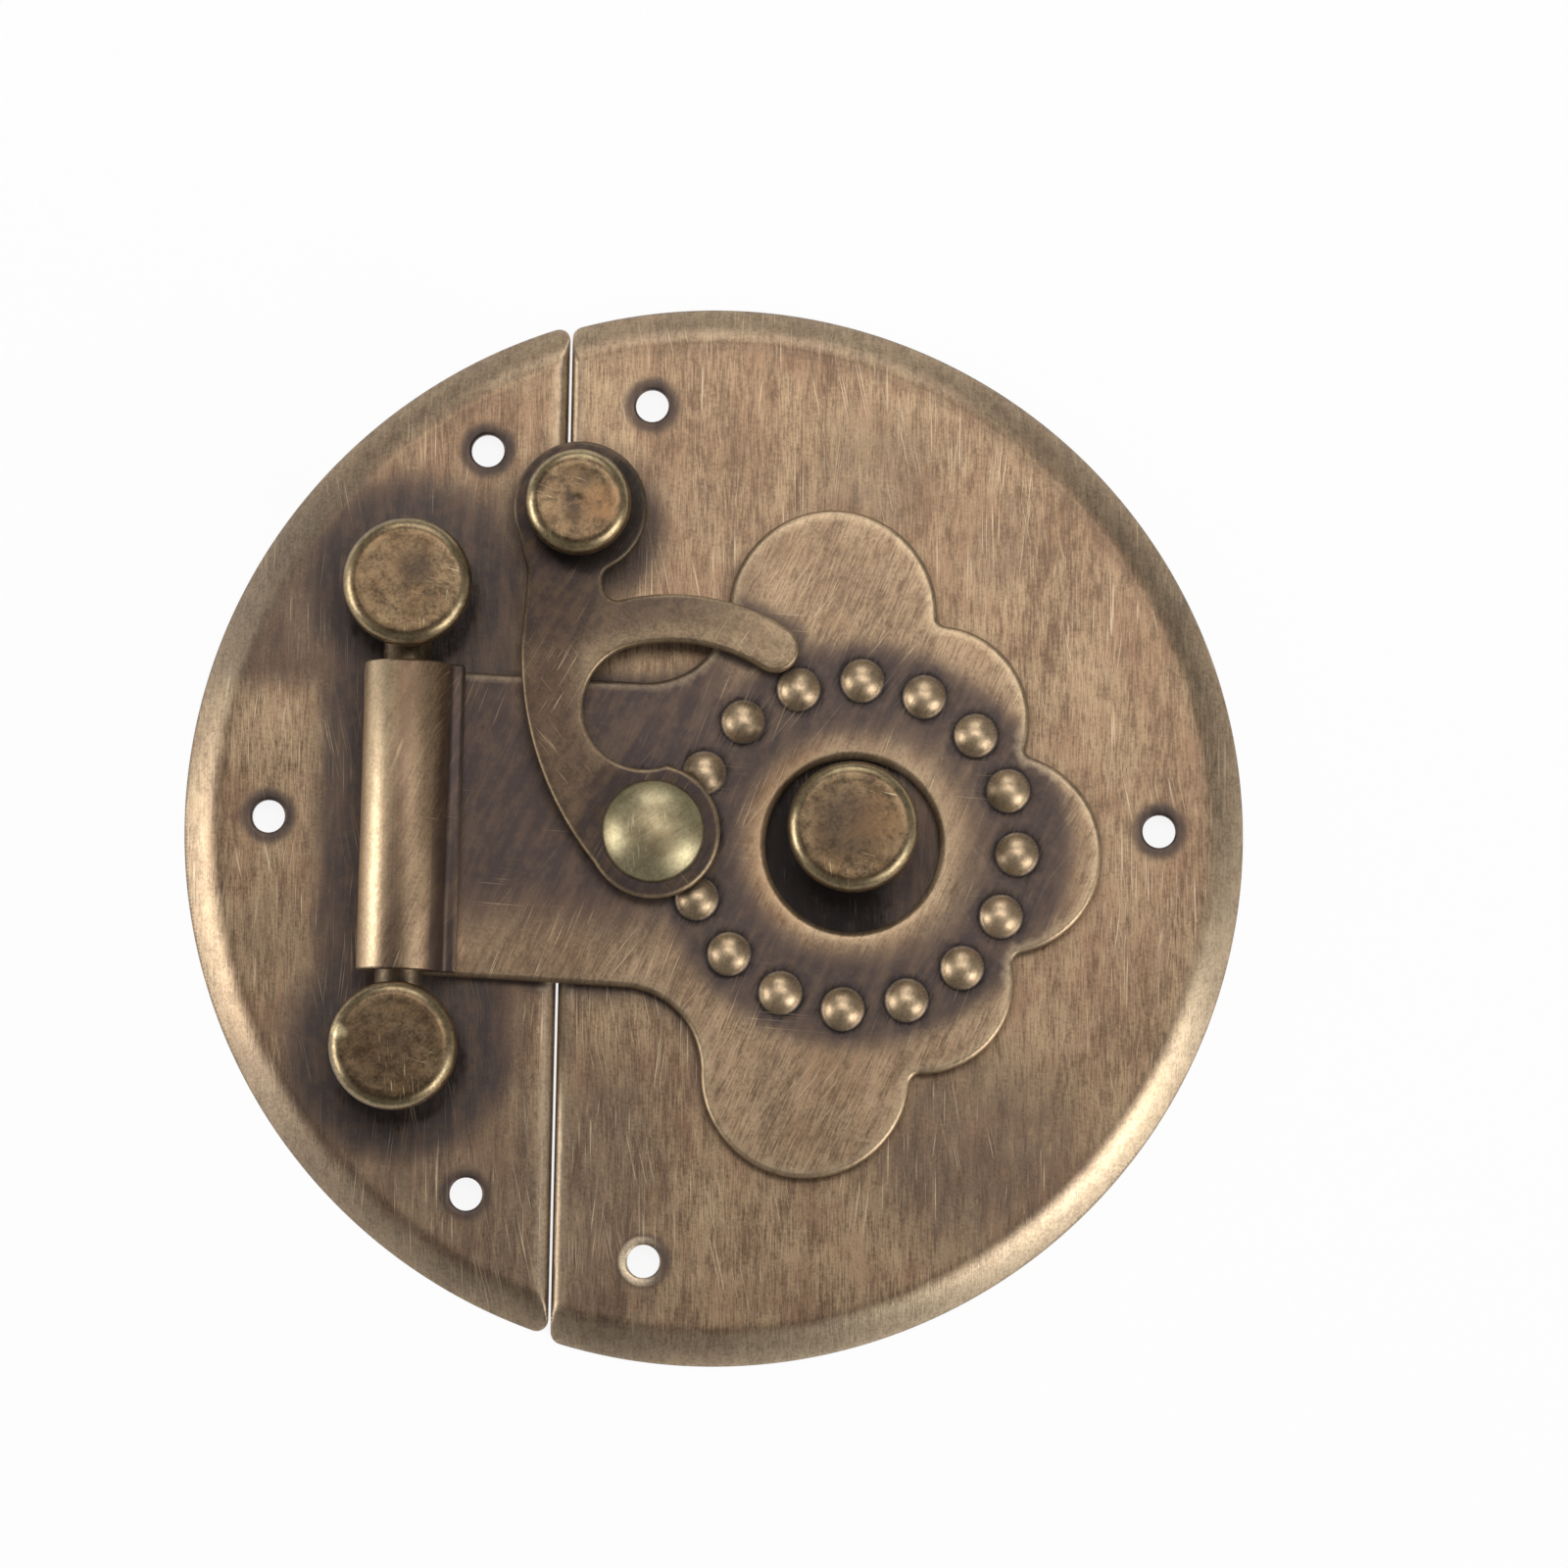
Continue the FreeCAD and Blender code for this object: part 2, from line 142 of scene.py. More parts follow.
# Sizes that follow
roof = plate_rise - plate_t     # underside of the plates' flat part
hasp_z = plate_rise + hasp_lift
hasp_top = hasp_z + hasp_t
bore_r = pin_r + pin_play
barrel_r = bore_r + hasp_t
pin_z = hasp_z + barrel_r
neck_above = barrel_length / 2 - neck_inset - neck_drop
neck_below = barrel_length / 2 - neck_inset + neck_drop
post_spacing = barrel_length + 2 * (post_gap + post_r)
post_head_z = pin_z + pin_r + post_over
lever_z = hasp_top + washer_t + lever_gap
lever_top = lever_z + lever_t
stud_head_z = lever_top + stud_over
knob_foot_top = lever_top + knob_foot_t
knob_head_z = knob_foot_top + knob_neck_height
pad_reach = arm[1] + arm_outer_r + waist_height + pad_r

# Mesh fineness
chord = 0.35              # spacing along outlines
grid_step = 0.65          # spacing of the points on flat faces
edge_turns = 6            # facets across a rounded edge
turns = 96                # sides of a turned piece
crown = (0.92, 0.75, 0.5, 0.25, 0.0)      # rings of a head's top, as shares of its radius

# Stains and darker patches of the plates
halo_reach = 1.6          # dark stain round each nail hole
# Soft darker patches: x, y, size and share
darker_patches = [
    (22.5, -26, 14, 0.35),
    (13, 31, 9, 0.3),
    (23.5, 24, 5, 0.25),
    (8, 22, 6, 0.15),
    (-36, -9, 7, 0.25),
]


# Plane geometry

def point(x, y):
    return np.array([x, y], float)


def polar(radius, degrees, middle=(0.0, 0.0)):
    angle = math.radians(degrees)
    return point(middle[0] + radius * math.cos(angle), middle[1] + radius * math.sin(angle))


def toward(start, goal, distance):
    """The point at a distance from the start on the way to the goal."""
    step = goal - start
    return start + step * distance / np.linalg.norm(step)


def meet(first, first_r, second, second_r, away):
    """The crossing of two circles that lies further from a given point."""
    step = second - first
    gap = np.linalg.norm(step)
    along = (first_r ** 2 - second_r ** 2 + gap ** 2) / (2 * gap)
    aside = math.sqrt(max(first_r ** 2 - along ** 2, 0.0))
    base = first + step * along / gap
    normal = point(-step[1], step[0]) * aside / gap
    return max((base + normal, base - normal), key=lambda spot: np.linalg.norm(spot - away))


def arc(centre, start, end, turn=1):
    """Points from start up to but without the end, about the centre: turn 1 is anticlockwise."""
    first = math.atan2(start[1] - centre[1], start[0] - centre[0])
    last = math.atan2(end[1] - centre[1], end[0] - centre[0])
    sweep = (last - first) * turn % (2 * math.pi)
    radius = np.linalg.norm(start - centre)
    count = max(2, math.ceil(sweep * radius / min(chord, radius / 4)))
    angles = first + turn * sweep * np.arange(count) / count
    return np.column_stack([centre[0] + radius * np.cos(angles), centre[1] + radius * np.sin(angles)])


def line(start, end):
    count = max(1, math.ceil(np.linalg.norm(end - start) / chord))
    share = np.arange(count)[:, None] / count
    return start + (end - start) * share


def circle(radius, x=0.0, y=0.0, count=None):
    count = count or max(24, math.ceil(2 * math.pi * radius / chord))
    angles = 2 * math.pi * np.arange(count) / count
    return np.column_stack([x + radius * np.cos(angles), y + radius * np.sin(angles)])


def inward(loop, distance):
    """The loop moved to its left, which is inwards where it runs anticlockwise."""
    ahead = np.roll(loop, -1, axis=0) - loop
    ahead /= np.linalg.norm(ahead, axis=1)[:, None]
    behind = np.roll(ahead, 1, axis=0)
    normal = np.column_stack([-(ahead + behind)[:, 1], (ahead + behind)[:, 0]])
    square = np.maximum((normal ** 2).sum(axis=1), 0.5)
    return loop + normal * (2 * distance / square)[:, None]


def inside(spots, loop):
    """Which of the spots lie within a closed loop."""
    x, y = spots[:, 0][:, None], spots[:, 1][:, None]
    x0, y0 = loop[:, 0][None], loop[:, 1][None]
    x1, y1 = np.roll(loop[:, 0], -1)[None], np.roll(loop[:, 1], -1)[None]
    crossing = (y0 > y) != (y1 > y)
    rise = np.where(y1 == y0, 1.0, y1 - y0)
    hits = crossing & (x < (x1 - x0) * (y - y0) / rise + x0)
    return hits.sum(axis=1) % 2 == 1


def distance_to(spots, loop):
    """Distance from each spot to the nearest point of a closed loop's segments."""
    step = (np.roll(loop, -1, axis=0) - loop)[None]
    batch = 2000
    gaps = []
    for low in range(0, len(spots), batch):
        rel = spots[low:low + batch, None] - loop[None]
        share = np.clip((rel * step).sum(-1) / np.maximum((step ** 2).sum(-1), 1e-12), 0, 1)
        gaps.append(np.linalg.norm(rel - share[..., None] * step, axis=-1).min(axis=1))
    return np.concatenate(gaps)


def apart(spots, x=0.0, y=0.0):
    """Distance of each spot from a place, seen from above."""
    return np.hypot(spots[:, 0] - x, spots[:, 1] - y)


def nearest(spots, places):
    """Distance from each spot to the nearest of the given places."""
    return np.min([apart(spots, x, y) for x, y in places], axis=0)


def spin(spots, degrees, x=0.0, y=0.0):
    """Turn spots about the origin and then move them."""
    angle = math.radians(degrees)
    c, s = math.cos(angle), math.sin(angle)
    return np.column_stack([spots[:, 0] * c - spots[:, 1] * s + x, spots[:, 0] * s + spots[:, 1] * c + y])


def smooth(low, high, value):
    share = np.clip((value - low) / (high - low), 0, 1)
    return share * share * (3 - 2 * share)


# Mesh making

class Shell:
    """Vertices and faces of one piece, in millimetres."""

    def __init__(self):
        self.spots = []
        self.faces = []
        self.total = 0

    def add(self, flat, z):
        """Add points at heights z, and give their numbers."""
        flat = np.asarray(flat, float)
        heights = np.broadcast_to(np.asarray(z, float), (len(flat),))
        self.spots.append(np.column_stack([flat, heights]))
        numbers = np.arange(self.total, self.total + len(flat))
        self.total += len(flat)
        return numbers

    def strip(self, lower, upper):
        """Quads between two rings of as many points."""
        self.faces += zip(lower, np.roll(lower, -1), np.roll(upper, -1), upper)

    def wall(self, loop, steps):
        """Joined rings of a loop, each moved inwards to a height; gives the first and the last."""
        rings = [self.add(inward(loop, inset), height) for inset, height in steps]
        for lower, upper in zip(rings, rings[1:]):
            self.strip(lower, upper)
        return rings[0], rings[-1]

    def fill(self, rings, up, extra=()):
        """Triangles between an outer ring, the holes' rings and extra points."""
        numbers = np.concatenate([*rings, np.asarray(extra, int)])
        every = self.points()[:, :2]
        edges = []
        start = 0
        for ring in rings:
            count = len(ring)
            edges += [(start + i, start + (i + 1) % count) for i in range(count)]
            start += count
        result = delaunay_2d_cdt([Vector(spot) for spot in every[numbers]], edges, [], 0, 1e-7)
        places = np.array([spot[:] for spot in result[0]])
        corners = np.array(result[2])
        middle = places[corners].mean(axis=1)
        keep = inside(middle, every[rings[0]])
        for ring in rings[1:]:
            keep &= ~inside(middle, every[ring])
        if any(not ids for ids in result[3]):
            raise ValueError("crossing rings")
        source = [numbers[ids[0]] for ids in result[3]]
        for corner in corners[keep]:
            face = tuple(source[i] for i in corner)
            self.faces.append(face if up else face[::-1])

    def revolve(self, profile, x, y):
        """Turned solid about an upright axis, from (radius, height) points, bottom to top."""
        rings = []
        for radius, height in profile:
            flat = circle(radius, x, y, turns) if radius > 1e-6 else [(x, y)]
            rings.append(self.add(flat, height))
        for lower, upper in zip(rings, rings[1:]):
            self.join(lower, upper)

    def join(self, lower, upper):
        if len(lower) > 1 and len(upper) > 1:
            self.strip(lower, upper)
            return
        tip, rim = (lower[0], upper) if len(lower) == 1 else (upper[0], lower)
        for a, b in zip(rim, np.roll(rim, -1)):
            self.faces.append((tip, b, a) if len(lower) == 1 else (a, b, tip))

    def points(self):
        return np.concatenate(self.spots)

    def piece(self, name, place=None):
        """A mesh object of the shell; place moves its points to where they belong."""
        spots = self.points()
        if place is not None:
            spots = place(spots)
        mesh = bpy.data.meshes.new(name)
        mesh.from_pydata((spots * MM).tolist(), [], [tuple(int(i) for i in face) for face in self.faces])
        work = bmesh.new()
        work.from_mesh(mesh)
        bmesh.ops.remove_doubles(work, verts=work.verts, dist=0.002 * MM)
        bmesh.ops.dissolve_degenerate(work, edges=work.edges, dist=0.0005 * MM)
        bmesh.ops.recalc_face_normals(work, faces=work.faces)
        work.to_mesh(mesh)
        work.free()
        mesh.shade_smooth()
        thing = bpy.data.objects.new(name, mesh)
        bpy.context.scene.collection.objects.link(thing)
        return thing


def rounding(radius, top, way=1):
    """Insets and heights over a rounded edge to the top; way -1 is for the edge of a hole."""
    angles = np.linspace(0, math.pi / 2, edge_turns + 1)
    return [(way * radius * (1 - math.cos(a)), top - radius * (1 - math.sin(a))) for a in angles]


def flat_grid(loop, holes, margin, spots=()):
    """Grid points well inside the loop and clear of the holes and of the given spots."""
    low = loop.min(axis=0)
    high = loop.max(axis=0)
    grid = []
    for index, y in enumerate(np.arange(low[1], high[1], grid_step * 0.87)):
        xs = np.arange(low[0] + (index % 2) * grid_step / 2, high[0], grid_step)
        grid.append(np.column_stack([xs, np.full(len(xs), y)]))
    grid = np.concatenate(grid)
    grid = grid[inside(grid, loop)]
    grid = grid[distance_to(grid, loop) > margin]
    for x, y, radius in [(x, y, radius + margin) for x, y, radius in holes] + list(spots):
        grid = grid[apart(grid, x, y) > radius]
    return grid


# Places on the latch

def hinge_place(spots, degrees=-hinge_lean):
    """From the hinge's own frame to the latch's."""
    flat = spin(spots[:, :2], degrees, hinge_x, hinge_y)
    return np.column_stack([flat, spots[:, 2]])


def hasp_place(spots):
    return hinge_place(spots, -hinge_lean - hasp_skew)


def rivet_centre():
    return hasp_place(np.array([[rivet_x, 0.0, 0.0]]))[0, :2]

def lever_place(spots):
    flat = spin(spots[:, :2], lever_open - 90, *rivet_centre())
    return np.column_stack([flat, spots[:, 2]])


def knob_centre():
    return lever_place(np.array([[0.0, pad_reach, 0.0]]))[0, :2]


def post_centres():
    return [polar(side * post_spacing / 2, 90 - hinge_lean, (hinge_x, hinge_y)) for side in (1, -1)]


def nail_places(nails):
    return [polar(plate_r - near, angle) for near, angle in nails]


# Base plates

def seam_edge(side, inset=0.0):
    """Where a plate ends at the seam, or a line that far inside it."""
    return seam_x + side * (seam_gap / 2 + inset)


def plate_outline(side):
    """Anticlockwise outline of one plate, with its two corners rounded."""
    edge = seam_edge(side)
    centre_x = edge + side * corner_r
    reach = math.sqrt((plate_r - corner_r) ** 2 - centre_x ** 2)
    origin = point(0, 0)

    def corner(end):
        """Centre of a corner, and where it meets the rim and the seam."""
        centre = point(centre_x, end * reach)
        return centre, toward(origin, centre, plate_r), point(edge, end * reach)

    first, rim_first, seam_first = corner(-side)
    last, rim_last, seam_last = corner(side)
    return np.concatenate([
        arc(origin, rim_first, rim_last),
        arc(last, rim_last, seam_last),
        line(seam_last, seam_first),
        arc(first, seam_first, rim_first),
    ])


def seam_height(side, spots, edge, radius, top):
    """Height over the rolled edge along the seam."""
    run = np.clip(radius - side * (spots[:, 0] - edge), 0, radius)
    return top - radius + np.sqrt(radius ** 2 - run ** 2)


def outer_height(side, spots):
    """Height of the plate's outer face: flat, rolled down at the rim and along the seam."""
    run = np.clip(apart(spots) - (plate_r - rim_width), 0, rim_width)
    rim_z = plate_rise * (1 - (run / rim_width) ** rim_bend)
    return np.minimum(rim_z, seam_height(side, spots, seam_edge(side), seam_roll, plate_rise))


def inner_height(side, spots):
    """Height of the hollow behind the sheet."""
    rim_z = roof * (plate_r - plate_t - apart(spots)) / (rim_width - plate_t)
    seam_z = seam_height(side, spots, seam_edge(side, plate_t), seam_roll_inside, roof)
    return np.clip(np.minimum(rim_z, seam_z), 0, roof)


def upright_row(x, step):
    """Points along a line beside the seam."""
    ys = np.arange(-plate_r, plate_r, step)
    return np.column_stack([np.full(len(ys), x), ys])


def hollow_extra(side, inner, holes):
    """Points for the hollow: rows along the rim and the seam and a coarse grid."""
    edge = seam_edge(side, plate_t)
    rows = [circle(plate_r - inset) for inset in (2.0, 2.7, 3.2, 3.4, 4.0)]
    rows += [upright_row(edge + side * step, 2 * chord) for step in (0.15, 0.35, 0.6)]
    rows = np.concatenate(rows)
    rows = rows[inside(rows, inner)]
    rows = rows[distance_to(rows, inner) > 0.1]
    return np.concatenate([rows, flat_grid(inner, holes, 1.0)[::3]])


def plate_extra(side, outline, holes):
    """Points for the plate's face: rows along the rim and the seam and a plain grid."""
    edge = seam_edge(side)
    insets = (0.12, 0.3, 0.55, 0.85, 1.2, 1.6, 2.0, 2.4, 2.75, 3.05, 3.3, 3.6)
    rows = np.concatenate([circle(plate_r - inset) for inset in insets])
    rows = rows[side * (rows[:, 0] - edge) > seam_roll + 0.1]
    runs = [seam_roll * (1 - math.cos(math.radians(angle))) for angle in (14, 28, 42, 56, 70, 82)]
    bands = np.concatenate([upright_row(edge + side * run, chord) for run in runs])
    bands = bands[apart(bands) < plate_r - 0.15]
    halos = [(x, y, radius + halo_reach + 0.3) for x, y, radius in holes if radius == nail_r]
    grid = flat_grid(outline, holes, 0.7, halos)
    level = apart(grid) < plate_r - rim_width - 0.6
    grid = grid[level & (side * (grid[:, 0] - edge) > seam_roll + 0.3)]
    rings = [circle(nail_r + grow, x, y) for x, y, _ in halos for grow in (0.5, 0.8, 1.15, halo_reach)]
    return np.concatenate([rows, bands, grid] + rings)


def plate(name, side, nails, feet):
    """One pressed sheet with its nail holes and the holes for the feet of posts or stud."""
    outline = plate_outline(side)
    shift = 0.0 if side > 0 else hinge_plate_y
    holes = [(x, y - shift, nail_r) for x, y in nail_places(nails)]
    holes += [(x, y - shift, tail_r) for x, y in feet]
    shell = Shell()

    top = shell.add(outline, outer_height(side, outline))
    steps = [(0.0, roof), (0.0, plate_rise - 0.2), (-0.06, plate_rise - 0.06), (-0.2, plate_rise)]
    bores = [shell.wall(circle(radius, x, y), steps) for x, y, radius in holes]
    extra = plate_extra(side, outline, holes)
    numbers = shell.add(extra, outer_height(side, extra))
    shell.fill([top] + [brim for _, brim in bores], True, numbers)

    foot = shell.add(outline, 0.0)
    shell.strip(foot, top)
    inner = inward(outline, plate_t)
    sill = shell.add(inner, 0.0)
    shell.strip(sill, foot)
    wall = shell.add(inner, inner_height(side, inner))
    shell.strip(wall, sill)
    extra = hollow_extra(side, inner, holes)
    numbers = shell.add(extra, inner_height(side, extra))
    shell.fill([wall] + [brim for brim, _ in bores], False, numbers)
    return shell.piece(name, lambda spots: spots + (0.0, shift, 0.0))


# Hinge posts, stud, knob, rivet, washer and pin

def turned(name, profile, x, y, place=None):
    shell = Shell()
    shell.revolve(profile, x, y)
    return shell.piece(name, place)


def dome_r(radius, height):
    """Radius of the ball whose cap is that wide and high."""
    return (radius ** 2 + height ** 2) / (2 * height)


def head_profile(neck, radius, base):
    """Tapered underside, straight band, rounded edge and slightly crowned top."""
    band = base + head_rise
    side = band + head_band
    inner = radius - head_round
    rows = [
        (neck, base),
        (radius - 0.25, band - 0.08),
        (radius - 0.06, band + 0.02),
        (radius, band + 0.15),
    ]
    for angle in np.radians(np.arange(0, 86, 8.5)):
        rows.append((inner + head_round * math.cos(angle), side + head_round * math.sin(angle)))
    return rows + [(inner * share, side + head_round - 0.04 * share ** 2) for share in crown]


def riveted(name, shoulder, head_r, head_z, x, y):
    """Post or stud: a tail hammered over behind the sheet, a shoulder on it and a head."""
    tail = [
        (0, roof - tail_head_t),
        (tail_end_r, roof - tail_head_t),
        (tail_head_r - 0.1, roof - 0.15),
        (tail_head_r, roof),
        (tail_r, roof),
        (tail_r, plate_rise),
        (shoulder + 0.12, plate_rise),
        (shoulder, plate_rise + 0.12),
    ]
    return turned(name, tail + head_profile(shoulder, head_r, head_z), x, y)


def pull_knob():
    """Turned knob on the lever's pad; its head has a low lip in place of a crown."""
    stem = [
        (0, lever_z),
        (knob_shank_r + knob_tail, lever_z),
        (knob_shank_r, lever_z + knob_tail),
        (knob_shank_r, lever_top),
        (knob_foot_r - 0.05, lever_top),
        (knob_foot_r, lever_top + 0.12),
        (knob_foot_r, knob_foot_top - 0.2),
        (knob_foot_r - 0.2, knob_foot_top),
        (knob_neck_r + 0.2, knob_foot_top),
        (knob_neck_r, knob_foot_top + 0.2),
    ]
    head = head_profile(knob_neck_r, knob_head_r, knob_head_z)
    top = head[-1][1]
    lip = knob_head_r - head_round
    dish = [
        (lip - 0.25, top - 0.01),
        (lip - 0.5, top - 0.04),
        (lip - 0.9, top - 0.06),
        (lip * 0.5, top - 0.06),
        (lip * 0.25, top - 0.05),
        (lip * 0.12, top - 0.1),
        (0, top - 0.16),
    ]
    return turned("knob", stem + head[:-len(crown)] + dish, 0, pad_reach, lever_place)


def pivot_rivet():
    under = lever_top + lever_gap
    ball_r = dome_r(rivet_head_r, rivet_head_height)
    half = math.asin(rivet_head_r / ball_r)
    rows = [
        (0, hasp_z),
        (rivet_r + rivet_tail, hasp_z),
        (rivet_r, hasp_z + rivet_tail),
        (rivet_r, under),
        (rivet_head_r - 0.12, under),
    ]
    for angle in half * np.linspace(0.985, 0, 16):
        down = ball_r * (1 - math.cos(angle))
        rows.append((ball_r * math.sin(angle), under + rivet_head_height - down))
    return turned("rivet", rows, *rivet_centre())


def pivot_washer():
    top = hasp_top + washer_t
    rows = [
        (rivet_r, hasp_top),
        (washer_r, hasp_top),
        (washer_r, top - 0.15),
        (washer_r - 0.15, top),
        (rivet_r, top),
        (rivet_r, hasp_top),
    ]
    return turned("washer", rows, *rivet_centre())


def hinge_pin():
    """Turned about its own axis, then laid along the hinge."""
    half = post_spacing / 2 + post_r - pin_inset
    bevel = 0.2
    rows = [
        (0, -half),
        (pin_r - bevel, -half),
        (pin_r, -half + bevel),
        (pin_r, half - bevel),
        (pin_r - bevel, half),
        (0, half),
    ]

    def place(spots):
        laid = np.column_stack([spots[:, 0], -spots[:, 2], spots[:, 1] + pin_z])
        return hinge_place(laid)

    return turned("pin", rows, 0, 0, place)


# Hasp

def hasp_outline():
    """Anticlockwise outline of the flap, from the neck's lower end round the lobes."""
    boss = point(boss_x, 0)
    end_up = polar(end_lobe[0], end_lobe[1], boss)
    end_down = polar(end_lobe[0], -end_lobe[1], boss)
    chain = [
        (end_down, end_lobe[2]),
        (polar(side_lobe[0], -side_lobe[1], boss), side_lobe[2]),
        (polar(nose_lobe[0], nose_lobe[1], boss), nose_lobe[2]),
        (polar(side_lobe[0], side_lobe[1], boss), side_lobe[2]),
        (end_up, end_lobe[2]),
    ]
    reach = end_lobe[2] + root_fillet

    def root(lobe, y):
        return point(lobe[0] - math.sqrt(reach ** 2 - (y - lobe[1]) ** 2), y)

    root_down = root(end_down, -neck_below - root_fillet)
    root_up = root(end_up, neck_above + root_fillet)
    leave = point(root_down[0], -neck_below)
    here = toward(root_down, end_down, root_fillet)
    parts = [line(point(0, -neck_below), leave), arc(root_down, leave, here, -1)]
    for (lobe, lobe_r), (after, after_r) in zip(chain, chain[1:]):
        notch = meet(lobe, lobe_r + lobe_fillet, after, after_r + lobe_fillet, boss)
        leave = toward(lobe, notch, lobe_r)
        parts.append(arc(lobe, here, leave))
        here = toward(after, notch, after_r)
        parts.append(arc(notch, leave, here, -1))
    leave = toward(end_up, root_up, end_lobe[2])
    parts.append(arc(end_up, here, leave))
    neck = point(root_up[0], neck_above)
    parts.append(arc(root_up, leave, neck, -1))
    parts.append(line(neck, point(0, neck_above)))
    parts.append(line(point(0, neck_above), point(0, -neck_below)))
    return np.concatenate(parts)


def bead_places():
    places = []
    for index in range(bead_count):
        spot = polar(bead_ring_r, 360 * index / bead_count, (boss_x, 0))
        if math.hypot(spot[0] - rivet_x, spot[1]) > washer_r + bead_r:
            places.append(spot)
    return places


def bead_field(spots, radius, height, blend):
    """Height of the pressed domes, running softly into the sheet."""
    gap = nearest(spots, bead_places())
    ball_r = dome_r(radius, height)
    dome = np.sqrt(np.maximum(ball_r ** 2 - gap ** 2, 0)) - ball_r + height
    dome = np.where(gap < ball_r, dome, -1.0)
    soft = (dome + blend) ** 2 / (4 * blend)
    return np.select([dome > blend, dome < -blend], [dome, 0.0], soft)


def hasp_flap(shell):
    outline = hasp_outline()
    bevel = 0.12
    steps = [(bevel, hasp_z), (0.0, hasp_z + bevel)] + rounding(0.45, hasp_top)
    walls = [shell.wall(outline, steps)]
    for x, radius, flare, soft in ((boss_x, hole_r, 0.1, 0.6), (rivet_x, rivet_r, rivet_tail, 0.05)):
        steps = [(-flare, hasp_z), (0.0, hasp_z + flare)] + rounding(soft, hasp_top, -1)
        walls.append(shell.wall(circle(radius, x), steps))
    rows = []
    for spot in bead_places():
        rows.append(spot[None])
        for index, radius in enumerate((0.35, 0.7, 1.0, 1.25, 1.45, 1.6, 1.75, 1.9, 2.1)):
            rows.append(spin(circle(radius, *spot) - spot, index * 5, *spot))
    spots = [(x, y, 2.5) for x, y in bead_places()]
    holes = [(boss_x, 0, hole_r + 0.3), (rivet_x, 0, rivet_r)]
    rows.append(flat_grid(outline, holes, 0.8, spots))
    extra = np.concatenate(rows)
    under, over = zip(*walls)
    numbers = shell.add(extra, hasp_top + bead_field(extra, bead_r, bead_height, 0.12))
    shell.fill(over, True, numbers)
    numbers = shell.add(extra, hasp_z + bead_field(extra, 1.3, 1.3, 0.1))
    shell.fill(under, False, numbers)


def barrel_section():
    """Cross-section of the rolled end in (x, z): the sheet goes round the pin and laps the neck."""
    lap_top = hasp_top + fold_gap + hasp_t
    lap_end = barrel_r + lap_length
    middle = point(0, pin_z)
    soft = 0.5
    low = hasp_top + fold_gap
    hollow_z = lap_top + soft
    hollow = point(math.sqrt((barrel_r + soft) ** 2 - (hollow_z - pin_z) ** 2), hollow_z)
    leave = toward(middle, hollow, barrel_r)
    edge = 0.4
    corner = point(lap_end - edge, lap_top - edge)
    tip = 1.2
    bore_in = point(tip, pin_z - math.sqrt(bore_r ** 2 - tip ** 2))
    parts = [
        arc(middle, point(0, hasp_z), leave, -1),
        arc(hollow, leave, point(hollow[0], lap_top)),
        line(point(hollow[0], lap_top), point(corner[0], lap_top)),
        arc(corner, point(corner[0], lap_top), point(lap_end, corner[1]), -1),
        line(point(lap_end, corner[1]), point(lap_end, low)),
        line(point(lap_end, low), point(tip, low)),
        line(point(tip, low), bore_in),
        arc(middle, bore_in, point(0, hasp_top)),
        line(point(0, hasp_top), point(0, hasp_z)),
    ]
    return np.concatenate(parts)[::-1]


def barrel(shell):
    """The section drawn out along the pin, with slightly rounded ends. The pin stands upright."""
    half = barrel_length / 2
    soft = 0.18
    end = [(soft, 0.0), (0.06, 0.05), (0.0, soft)]
    steps = [(inset, near - half) for inset, near in end]
    steps += [(inset, half - near) for inset, near in end[::-1]]
    first, last = shell.wall(barrel_section(), steps)
    shell.fill([first], False)
    shell.fill([last], True)


def hasp():
    flap = Shell()
    hasp_flap(flap)
    rolled = Shell()
    barrel(rolled)
    laid = rolled.points()[:, [0, 2, 1]]
    whole = Shell()
    whole.spots = [hasp_place(flap.points()), hinge_place(laid)]
    whole.faces = flap.faces + [tuple(i + flap.total for i in face) for face in rolled.faces]
    return whole.piece("hasp_sheet")


# Hook lever

